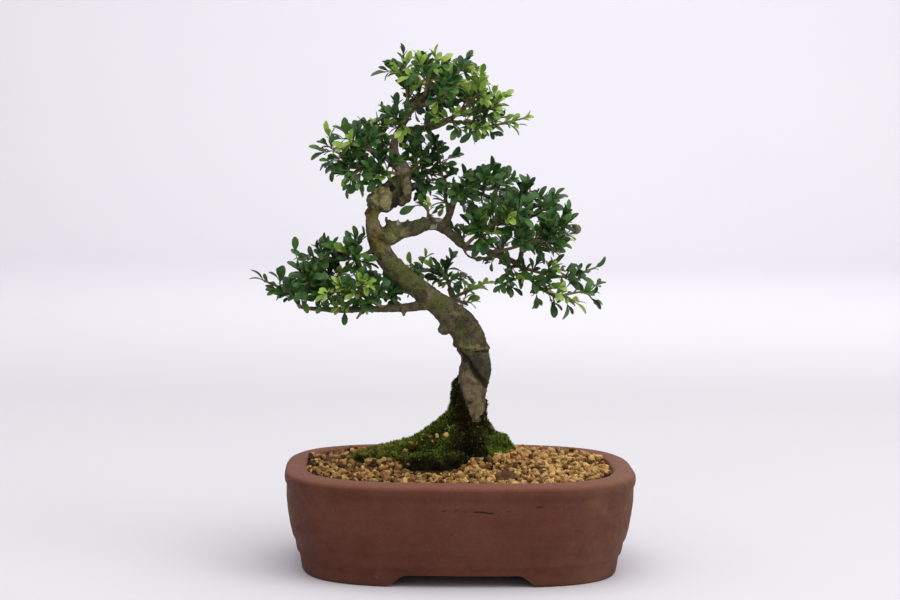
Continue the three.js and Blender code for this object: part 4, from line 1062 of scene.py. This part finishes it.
def addLeaves(path, fromFraction, isYoung, share, chance, placings):
    wanted = pathLength(path) * (1 - fromFraction) * (0.4 + 0.6 * share) / foliage["leafSpacing"]
    count = max(3 if share > 0.5 else 2, round(wanted))
    phase = chance.random() * 6
    for number in range(count + 2):
        done = min(1.0, number / count)
        fraction = fromFraction + (1 - fromFraction) * done
        position = fraction * (len(path) - 1)
        i, along, outward = roundPath(path, position, phase + number * foliage["turn"])
        place = path[i][0].lerp(path[i + 1][0], position - i)
        lean = foliage["lean"] - foliage["leanLost"] * done
        lean = math.radians(lean + foliage["leanSpread"] * (chance.random() - 0.5))
        direction = along * math.cos(lean) + outward * math.sin(lean) + upwards * 0.2
        direction = tilted(direction.normalized(), 0.14, chance)
        size = (0.66 + 0.6 * chance.random() ** 1.4) * (0.9 if isYoung else 1.0)
        middle = place + direction * size * foliage["leafLength"] * 0.6
        if woodTree.find_nearest(spot(middle))[3] < foliage["barkClearance"] * mm:
            continue
        if (middle - Vector(berry["at"])).length < berry["radius"] + berry["clearance"] or isTaken(middle):
            continue
        face = tilted(upwards * 0.7 + along * 0.55 - direction * 0.2 + towardsLight, 0.3, chance)
        if abs(face.dot(direction)) > 0.93:
            face = along
        tone = 0.05 + 0.5 * chance.random()
        if isYoung:
            tone = 0.5 + (0.2 + 0.3 * chance.random()) * (0.5 + 0.5 * done)
        width = size * (0.82 + 0.36 * chance.random())
        placings.append((leafPlacing(place, direction, face, size, width), min(1.0, tone)))


def nearestStart(tip, twigs):
    near = [place for twig in twigs for place, _ in twig]
    near += [place for limb in (trunk, *branches.values()) for place, _ in samplePath(limb, 3)]
    near = [place for place in near if (place - tip).length > 7]
    return min(near, key=lambda place: (place - tip).length)


def sprayTwigs(name, chance):
    limb, at, bends, tips = sprays[name]
    root = curvePoint(trunk if limb == "trunk" else branches[limb], at)
    thick, thin = foliage["stemRadius"], foliage["twigRadius"]
    stem = [[*root, thick * 1.25], *[[*point, thick] for point in bends]]
    twigs = []
    for number, (fraction, *tip) in enumerate(tips):
        start = curvePoint(stem, fraction * 0.96) if len(stem) > 1 else root
        end = start.lerp(Vector(tip), 1 - 0.75 * foliage["leafLength"] / (Vector(tip) - start).length)
        if number == 0:
            twigs.append(samplePath([*stem, [*end, thin * 0.8]], 1.8))
        else:
            twigs.append(bowedPath(start, end, 0.08, (thin * 1.1, thin * 0.75), chance))
    for tip in moreTwigs.get(name, []):
        start = nearestStart(Vector(tip), twigs)
        end = start.lerp(Vector(tip), 0.8)
        twigs.append(bowedPath(start, end, 0.06, (thin * 0.8, thin * 0.6), chance))
    return twigs


def sideShoots(path, share, chance):
    shoots = []
    count = max(2 if share > 0.5 else 1, round(pathLength(path) * 0.8 * share / foliage["shootSpacing"]))
    phase = chance.random() * 6
    for number in range(count):
        fraction = 0.24 + 0.68 * (number + chance.random() * 0.5) / count
        angle = phase + number * foliage["turn"]
        i, along, outward = roundPath(path, fraction * (len(path) - 1), angle)
        place = path[i][0]
        direction = (along * 0.65 + outward * 0.85 + upwards * 0.35).normalized()
        reach = foliage["shootLength"] * (1.1 - 0.5 * fraction) * (0.7 + 0.5 * chance.random())
        radii = (foliage["shootRadius"], foliage["shootRadius"] * 0.6)
        shoots.append(bowedPath(place, place + direction * reach, 0.08, radii, chance))
    return shoots


def makeSpray(name, leaf, chance):
    fresh = youngShare.get(name, youngShare[name.split("_")[0]])
    twigs = sprayTwigs(name, chance)
    share = sparseSprays.get(name, 1)
    paths = [(twig, 0) for twig in twigs]
    placings = []
    for twig in twigs if share > 0 else []:
        addLeaves(twig, 0.62, chance.random() < fresh, share, chance, placings)
        for shoot in sideShoots(twig, share, chance):
            paths.append((shoot, 1))
            addLeaves(shoot, 0.2, chance.random() < fresh, share, chance, placings)
    for start, end in looseLeaves.get(name, []):
        start, along = Vector(start), Vector(end) - Vector(start)
        size = along.length / foliage["leafLength"]
        leafPlace = leafPlacing(start, along.normalized(), Vector((0.2, -1, 0.35)), size, size)
        placings.append((leafPlace, foliage["looseTone"]))
        paths.append((bowedPath(nearestStart(start, twigs), start, 0.05, (0.3, 0.3), chance), 1))
    if name == berry["spray"]:
        paths.append((stalkPath(twigs[0]), 1))
    tubes = [makeTubes(paths[:len(twigs)], "twigs", 1), makeTubes(paths[len(twigs):], "shoots", 0)]
    stems = joined(tubes, "stems")
    setLeafFinishes(stems)
    setUniform(stems.data, "leafTone", 0)
    setSmooth(stems)
    leaves = joinedCopies(leaf, placings, "leafTone", name + "_leaves")
    piece = joined([stems, leaves], name + "_foliage")
    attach(piece, "root")
    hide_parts(name)
    return len(placings)


def stalkPath(twig):
    start = twig[int(berry["along"] * (len(twig) - 1))][0]
    end = Vector(berry["at"]) + upwards * berry["radius"] * 0.9
    bend = start.lerp(end, 0.6) + upwards * 2.5
    return samplePath([[*start, 0.45], [*bend, 0.4], [*end, 0.45]], 1.2)


def makeFoliage():
    leaf = makeLeaf()
    chance = random.Random(foliage["seed"])
    total = sum(makeSpray(name, leaf, chance) for name in sprays)
    print("foliage made:", total, "leaves")
    return leaf


leafTemplate = makeFoliage()


def makeBerry():
    bpy.ops.mesh.primitive_uv_sphere_add(
        segments=40, ring_count=24, radius=berry["radius"] * mm, location=spot(berry["at"]))
    piece = named("holly_berry")
    settle(piece)
    middle = spot(berry["at"])
    for vertex in piece.data.vertices:
        away = (vertex.co - middle) / (berry["radius"] * mm)
        dimple = math.exp(-((1 + away.z) / 0.06) ** 2) * 0.16
        dimple += math.exp(-((1 - away.z) / 0.05) ** 2) * 0.08
        vertex.co = middle + (vertex.co - middle) * (1 - dimple + 0.025 * noise.noise(away * 2.2))
    setSmooth(piece)
    setFinishes(piece, makeBerryPaint())
    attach(piece, "root")
    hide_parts("berry")
    print("berry made")


makeBerry()

# Moss: the cushions over the roots, lumpy, and covered all over with fine shoots

moss = {
    "voxel": 1.0, "softRounds": 4, "lumpSize": 3.4, "lumpHeight": 1.0, "tufts": 10500, "seed": 9,
    "shootLength": 1.5, "overRoots": 1.6, "overTrunk": 1.7, "sink": 0.5, "darker": 0.14, "toneSpread": 0.85,
    "front": 87, "left": 21, "right": 11, "back": 10, "lowest": 57.5,
}
mossRidge = [
    [-16, 5, 70, 8], [-33, 3, 67.2, 6.5], [-47, 0, 65.4, 5.2], [-58, -3, 63, 4.2], [-65, -5, 60.5, 3],
]
mossMounds = [[-18, -18, 60, 15, 12, 10], [-4, -15, 60, 12, 10, 9], [22, 0, 61, 12, 11, 9]]


def makeTuft():
    blades = []
    for number in range(5):
        bpy.ops.mesh.primitive_cone_add(
            vertices=3, radius1=0.26 * mm, depth=moss["shootLength"] * mm, end_fill_type="NOTHING",
            location=(0, 0, 0.4 * moss["shootLength"] * mm))
        blade = named("blade")
        settle(blade)
        lean = Matrix.Rotation(0.0 if number == 0 else 0.62, 4, "X")
        turn = Matrix.Rotation(number * math.tau / 4, 4, "Z")
        blade.data.transform(turn @ lean @ Matrix.Scale(1.0 if number == 0 else 0.85, 4))
        blades.append(blade)
    tuft = joined(blades, "tuftTemplate")
    setUniform(tuft.data, "mossTone", 0)
    setFinishes(tuft, finishes["moss"])
    return tuft


def surfaceSpots(mesh, count, chance):
    mesh.calc_loop_triangles()
    triangles = mesh.loop_triangles
    areas = [triangle.area for triangle in triangles]
    for triangle in chance.choices(triangles, weights=areas, k=count):
        a, b = chance.random(), chance.random()
        if a + b > 1:
            a, b = 1 - a, 1 - b
        first, second, third = (mesh.vertices[i].co for i in triangle.vertices)
        yield first + (second - first) * a + (third - first) * b, triangle.normal


# How high the moss climbs the trunk, by the side it grows on
def mossTop(point):
    side = (point.x - 8) / 10
    left, right, back = max(0, -side), max(0, side - 0.5) * 2, max(0, (point.y - 6) / 10)
    top = moss["front"] + moss["left"] * min(1, left) + moss["right"] * min(1, right)
    ragged = 3.2 * noise.noise(point / 3.5) + 2.0 * noise.noise(point / 1.4)
    return top + moss["back"] * min(1, back) + ragged


def mossShells():
    foot = [[x - 1.2, y, z, r + moss["overTrunk"]] for x, y, z, r in trunk[1:7]]
    over = [[[x, y, z, r + moss["overRoots"]] for x, y, z, r in root] for root in roots]
    tubes = makeTubes([(samplePath(points, 2), 0) for points in [foot, mossRidge, *over]], "shells", 6)
    return [tubes, *[makeBall(*mound) for mound in mossMounds]]


def makeMoss():
    cushion = joined([mergedCopy("moss", "cushion"), *mossShells()], "moss_cushion")
    regrow(cushion, moss["voxel"], moss["softRounds"])
    tones, moved = [], []
    for vertex in cushion.data.vertices:
        point = (vertex.co - potAxis) / mm
        lump = noise.noise(point / moss["lumpSize"]) + 0.5 * noise.noise(point * 2.2 / moss["lumpSize"])
        cover = max(0.0, min(1.0, (mossTop(point) - point.z) / 2.0))
        tones.append(mossToneAt(point, vertex.normal) - moss["darker"])
        heart = Vector((8, 7, point.z))  # bare bark swallows what lies above the moss line
        point = heart + (point - heart) * (1 - moss["sink"] * (1 - cover))
        moved.append(spot(point) + vertex.normal * lump * moss["lumpHeight"] * cover * mm)
    for vertex, place in zip(cushion.data.vertices, moved):
        vertex.co = place
    cushion.data.update()
    setAttribute(cushion.data, "mossTone", tones)
    setSmooth(cushion)
    setFinishes(cushion, finishes["moss"])
    chance = random.Random(moss["seed"])
    tuft = makeTuft()
    placings = []
    for place, normal in surfaceSpots(cushion.data, moss["tufts"], chance):
        point = (place - potAxis) / mm
        if normal.z < -0.5 or point.z < moss["lowest"] or point.z > mossTop(point) - 1:
            continue
        direction = tilted(normal + Vector((0, 0, 0.3)), 0.4, chance)
        turn = direction.to_track_quat("Z", "Y").to_matrix().to_4x4()
        turn = turn @ Matrix.Rotation(chance.random() * 6, 4, "Z")
        size = 0.55 + 0.75 * chance.random()
        tone = mossToneAt(point, normal) + moss["toneSpread"] * (chance.random() - 0.42)
        placings.append((Matrix.Translation(place) @ turn @ Matrix.Scale(size, 4), tone))
    tufts = joinedCopies(tuft, placings, "mossTone", "tufts")
    removePiece(tuft)
    piece = joined([cushion, tufts], "moss_cover")
    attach(piece, "root")
    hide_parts("moss")
    print("moss made:", len(placings), "tufts")
    return treeOf(piece)


def unit(value):
    return max(0.0, min(1.0, value))


# Upward-facing crowns are painted lighter, a painted highlight from the light above. The trunk's left and
# the right cushion are fresh and green. Sides that face the front are painted darker as painted shade, the
# front patch is dark and brown with dampness, and the moss is darker towards the bottom
def mossToneAt(point, normal):
    crownLight = max(0.0, normal.z)
    front = unit((-9 - point.y) / 6) * unit((16 - point.x) / 6) * unit((point.x + 34) / 8)
    dampAndShade = max(0.0, -normal.y) * (1 - 0.6 * crownLight) + 0.4 * unit((67 - point.z) / 8) + 0.55 * front
    fresh = unit((2 - point.x) / 10) * unit((point.z - 63) / 6)
    right = unit((point.x - 15) / 5)
    speckle = (1 + front) * noise.noise(point / 4) + 0.6 * noise.noise(point / 1.3)
    fresh += 0.6 * unit((-28 - point.x) / 10)
    return 0.27 + 0.22 * crownLight + 0.26 * fresh + 0.34 * right - 0.26 * dampAndShade + 0.2 * speckle


mossTree = makeMoss()

# What lies on the moss and the soil: a seedling of four small leaves, a fallen leaf and two chips of bark

seedling = {"at": [-4.2, -4, 82], "leafSize": 0.42, "leaves": 4}
fallenLeaf = {"at": [12, -9, 74], "along": [0.9, -0.35, 0.1], "size": 0.62}
barkChips = [{"at": [27.5, -46.5, 59.6], "size": [10.5, 8.5, 1.6], "tilt": 48, "turn": -8},
             {"at": [-77, 9, 60], "size": [7, 5.5, 1.3], "tilt": 40, "turn": -20}]


def onMoss(point):
    place, normal, _, _ = mossTree.find_nearest(spot(point))
    return (place - potAxis) / mm, normal


def makeFallenLeaves():
    placings = []
    place, normal = onMoss(seedling["at"])
    for number in range(seedling["leaves"]):
        turn = math.tau * number / seedling["leaves"] + 0.4
        direction = (Vector((math.cos(turn), 0, math.sin(turn))) * 0.9 + normal * 0.3).normalized()
        size = seedling["leafSize"] * (1 - 0.2 * (number % 2))
        placings.append((leafPlacing(place + normal * 1.2, direction, normal, size, size * 1.5), 0.92))
    place, normal = onMoss(fallenLeaf["at"])
    along, size = Vector(fallenLeaf["along"]).normalized(), fallenLeaf["size"]
    placings.append((leafPlacing(place + normal * 1.4, along, normal, size, size), 0.3))
    piece = joinedCopies(leafTemplate, placings, "leafTone", "moss_leaves")
    removePiece(leafTemplate)
    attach(piece, "root")


def makeBarkChips():
    chips = []
    for chip in barkChips:
        piece = makeGrid("chip", 14, 9)
        length, width, thickness = chip["size"]
        for vertex in piece.data.vertices:
            ragged = 1 + 0.3 * noise.noise(vertex.co * 4 + Vector(chip["at"]))
            vertex.co.z = 0.12 * math.cos(math.pi * vertex.co.y) + 0.05 * noise.noise(vertex.co * 6)
            x, y, z = vertex.co
            vertex.co = Vector((x * length * ragged, y * width * ragged, z * width)) * mm
        thicken(piece, thickness * mm)
        edge = piece.modifiers.new("worn", "BEVEL")
        edge.width = 0.3 * mm
        applyModifiers(piece)
        piece.rotation_euler = (math.radians(chip["tilt"]), math.radians(20), math.radians(chip["turn"]))
        piece.location = spot(chip["at"])
        settle(piece)
        chips.append(piece)
    piece = joined(chips, "bark_chips")
    setSmooth(piece, 50)
    setFinishes(piece, makeStemPaint("chipBark", (0.045, 0.014, 0.005), (0.12, 0.05, 0.02), 2.5))
    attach(piece, "root")
    print("litter made")


makeFallenLeaves()
makeBarkChips()

# Soil: the solid bed stays underneath, painted near black as painted shade in the gaps, and baked clay
# granules lie over it

granule = {
    "size": 3.1, "spacing": 2.8, "second": 0.35, "seed": 21, "onMoss": 0.02, "onRidge": 0.7,
    "ridge": [-17, -4, 15, 6], "strewn": 0.78, "kinds": 8, "unevenness": 0.3, "course": 1.9,
    "sideLightSlope": 0.13, "bankFall": 5.5, "highest": 78, "woodClearance": 1.5, "redShare": 0.012,
    "redStrewn": 0.18, "layerRise": 1.3,
}
# Banks of granules that lie against the moss: [x, y, top, half length, half width]
banks = [[-46, -15, 62.5, 16, 11], [26, -6, 67, 24, 18], [4, -22, 62.5, 14, 9]]
# Nearly bare hollows: [x, y, half length, half width, how deep the edge sinks, the edge's width]
hollows = [[-17, -28, 15, 6, 1.6, 7], [27.5, -49, 5, 4, 0, 0], [-77, 7, 4, 3.5, 0, 0]]


# 0 in the middle of an oval, 1 on its line
def ovalReach(x, y, atX, atY, long, wide):
    return ((x - atX) / long) ** 2 + ((y - atY) / wide) ** 2


def bankTop(x, y):
    fall = granule["bankFall"]
    return max(top - fall * ovalReach(x, y, atX, atY, *halves) for atX, atY, top, *halves in banks)


def sinkAt(x, y):
    sunk = 0
    for atX, atY, long, wide, depth, edge in hollows:
        if ovalReach(x, y, atX, atY, long + edge, wide + edge) < 1:
            sunk += depth
    return sunk


def isBare(bed, x, y):
    if woodTree.find_nearest(bed)[3] < granule["woodClearance"] * mm:
        return True
    return any(ovalReach(x, y, *oval[:4]) < 1 for oval in hollows)


def makeGranule(chance):
    bpy.ops.mesh.primitive_cube_add(size=mm, location=(0, 0, 0))
    stone = named("granuleTemplate")
    for vertex in stone.data.vertices:
        vertex.co *= 1 + granule["unevenness"] * 2 * (chance.random() - 0.5)
    bevel = stone.modifiers.new("broken", "BEVEL")
    bevel.width = 0.23 * mm
    bevel.segments = 1
    applyModifiers(stone)
    for vertex in stone.data.vertices:
        vertex.co *= 1 + granule["unevenness"] * 0.8 * (chance.random() - 0.5)
        vertex.co.z *= 0.8
    setSmooth(stone, 28)
    setUniform(stone.data, "grainTone", 0)
    setFinishes(stone, finishes["granules"])
    return stone


def granulePlacing(place, chance, isRed, scale):
    size = granule["size"] * (0.4 + 0.8 * chance.random() ** 1.4) * scale
    turn = Matrix.Rotation(chance.random() * 6.3, 4, tilted(Vector(), 1, chance))
    length = size * (0.85 + 0.55 * chance.random())
    stretch = Matrix.Diagonal((length, size, size * (0.65 + 0.4 * chance.random()), 1))
    lifted = place + Vector((0, 0, (size * 0.3 + 1.3 * (chance.random() - 0.5)) * mm))
    # Painted light and shade: granules are toned lighter to the right, towards the key light, and darker to
    # the left
    sideLightTone = granule["sideLightSlope"] * (place.x - potAxis.x) / (80 * mm)
    tone = 1.0 if isRed else min(0.88, max(0.0, chance.gauss(0.46, 0.29) + sideLightTone))
    return Matrix.Translation(lifted) @ turn @ stretch, tone


# The highest thing below a point: what it is, and where
def groundBelow(above, grounds):
    hits = [(tree.ray_cast(above, -upwards)[0], name) for name, tree in grounds.items()]
    hits = [(hit, name) for hit, name in hits if hit is not None]
    return max(hits, key=lambda hit: hit[0].z) if hits else (None, None)


def makeGranules():
    chance = random.Random(granule["seed"])
    grounds = {name: treeOf(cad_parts[name]) for name in ("soil", "pot")}
    grounds["moss"] = mossTree
    stones = [makeGranule(chance) for _ in range(granule["kinds"])]
    placings = [[] for _ in stones]
    step = granule["spacing"] * mm
    columns = int((potHigh.x - potLow.x) / step) + 1
    rows = int((potHigh.y - potLow.y) / step) + 1
    for layer, share in enumerate((1.0, granule["second"])):
        for cell in range(columns * rows):
            column, row = divmod(cell, rows)
            x = potLow.x + (column + 0.5 * (row % 2) + 0.8 * (chance.random() - 0.5)) * step
            y = potLow.y + (row + 0.8 * (chance.random() - 0.5)) * step
            draw, red, which = chance.random(), chance.random(), chance.randrange(len(stones))
            bed, ground = groundBelow(Vector((x, y, 0.12)), grounds)
            if draw > share or ground not in ("soil", "moss"):
                continue
            x, y, z = (bed - potAxis) / mm
            rise = bankTop(x, y) - z
            isStrewn = ground == "moss" and rise < 0
            if isStrewn:
                onRidge = ovalReach(x, y, *granule["ridge"]) < 1
                wanted = granule["onRidge"] * (layer == 0) if onRidge else granule["onMoss"]
                if draw > wanted or z > granule["highest"]:
                    continue
            if isBare(bed, x, y):
                continue
            isRed = red < granule["redStrewn" if isStrewn else "redShare"]
            scale = granule["strewn"] if isStrewn else 1
            bed = bed + Vector((0, 0, (layer * granule["layerRise"] - sinkAt(x, y)) * mm))
            for course in range(1 + max(0, round(rise / granule["course"]))):
                raised = bed + Vector((0, 0, course * granule["course"] * mm))
                placings[which].append(granulePlacing(raised, chance, isRed, scale))
    heaps = []
    for stone, places in zip(stones, placings):
        heaps.append(joinedCopies(stone, places, "grainTone", "granules"))
        removePiece(stone)
    piece = joined(heaps, "clay_granules")
    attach(piece, "root")
    print("granules made:", sum(len(places) for places in placings))


makeGranules()
setFinishes(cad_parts["soil"], finishes["shadedSoilBed"])
screenPaint = makePlasticPaint()
setFinishes(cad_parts["drain_screen_left"], screenPaint)
setFinishes(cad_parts["drain_screen_right"], screenPaint)

# Studio: a pale sweep, soft light from the upper right, and the camera

studio = {
    "floorHalf": 5.0, "bendStart": 2.4, "bendRadius": 0.8, "bendSteps": 12, "wallTop": 3.5,
    "tint": (0.718, 0.706, 0.74), "farTint": (0.736, 0.724, 0.756), "sky": (0.97, 0.955, 1.0, 1),
    "skyStrength": 0.6,
}
# Lights: name, place, the point that they face, size, power and colour
lights = [
    ["topLight", (0.2, -0.3, 2.3), (0, 0, 0), 3.2, 38, (1.0, 0.985, 0.97)],
    ["keyLight", (1.9, -1.0, 1.4), (0, 0, 0.14), 1.9, 18, (1.0, 0.98, 0.94)],
    ["wallLight", (0.4, 1.2, 1.8), (0.4, 3.2, 1.3), 1.8, 27, (0.97, 0.97, 1.0)],
]


def makeSweep():
    half, start, radius = studio["floorHalf"], studio["bendStart"], studio["bendRadius"]
    bpy.ops.mesh.primitive_plane_add(size=2 * half, location=(0, 0, 0))
    sweep = named("studio_sweep")
    settle(sweep)
    for vertex in sweep.data.vertices:
        vertex.co.y = min(vertex.co.y, start)
    line = [(start, 0.0)]
    for number in range(studio["bendSteps"]):
        turn = math.pi / 2 / studio["bendSteps"] * (number + 1)
        line.append((start + radius * math.sin(turn), radius * (1 - math.cos(turn))))
    line.append((start + radius, studio["wallTop"]))
    openWhole(sweep)
    bpy.ops.mesh.select_all(action="DESELECT")
    bpy.ops.object.mode_set(mode="OBJECT")
    for edge in sweep.data.edges:  # the far edge is drawn on up the wall
        edge.select = all(sweep.data.vertices[i].co.y > start - mm for i in edge.vertices)
    bpy.ops.object.mode_set(mode="EDIT")
    bpy.ops.mesh.select_mode(type="EDGE")
    for (y0, z0), (y1, z1) in zip(line, line[1:]):
        extrude(0, y1 - y0, z1 - z0)
    bpy.ops.mesh.select_mode(type="VERT")
    bpy.ops.object.mode_set(mode="OBJECT")
    setSmooth(sweep)
    paint = Paint("paleSweep", Roughness=1.0, Specular_IOR_Level=0.0)
    soft = paint.clouds(paint.noise(900, detail=2), studio["tint"], studio["farTint"])
    setFinishes(sweep, paint.finish(soft))


def addArea(name, place, target, size, power, colour):
    bpy.ops.object.light_add(type="AREA", location=place)
    light = named(name)
    light.data.shape = "DISK"
    light.data.size = size
    light.data.energy = power
    light.data.color = colour
    light.rotation_euler = (Vector(target) - Vector(place)).to_track_quat("-Z", "Y").to_euler()


def lightStudio():
    world = bpy.data.worlds.new("studioWorld")
    world.use_nodes = True
    background = world.node_tree.nodes["Background"]
    background.inputs["Color"].default_value = studio["sky"]
    background.inputs["Strength"].default_value = studio["skyStrength"]
    bpy.context.scene.world = world
    for light in lights:
        addArea(*light)


# The photograph's camera: worked out from the pot's rim, lip and foot
shot = {
    "distance": 1300, "height": 276.3, "turn": -0.0347, "pan": 0.0046, "pitch": 0.0911, "roll": 0.0108,
    "focalPixels": 2207.2, "imageWidth": 900,
}


def placeCamera():
    bpy.ops.object.camera_add()
    camera = named("photoCamera")
    turn, yaw, pitch, roll = shot["turn"], shot["turn"] + shot["pan"], shot["pitch"], shot["roll"]
    distance = shot["distance"] * mm
    camera.location = (distance * math.sin(turn), -distance * math.cos(turn), shot["height"] * mm)
    camera.location += potAxis
    ahead = Vector((-math.sin(yaw) * math.cos(pitch), math.cos(yaw) * math.cos(pitch), -math.sin(pitch)))
    right = Vector((math.cos(yaw), math.sin(yaw), 0))
    up = right.cross(ahead)
    turned = Matrix((right, up, -ahead)).transposed()
    camera.rotation_euler = (turned @ Matrix.Rotation(roll, 3, "Z")).to_euler()
    camera.data.sensor_width = 36
    camera.data.lens = shot["focalPixels"] * 36 / shot["imageWidth"]
    camera.data.clip_end = 50
    bpy.context.scene.camera = camera


makeSweep()
lightStudio()
placeCamera()
bpy.context.scene.view_settings.view_transform = "Standard"
print("studio made")
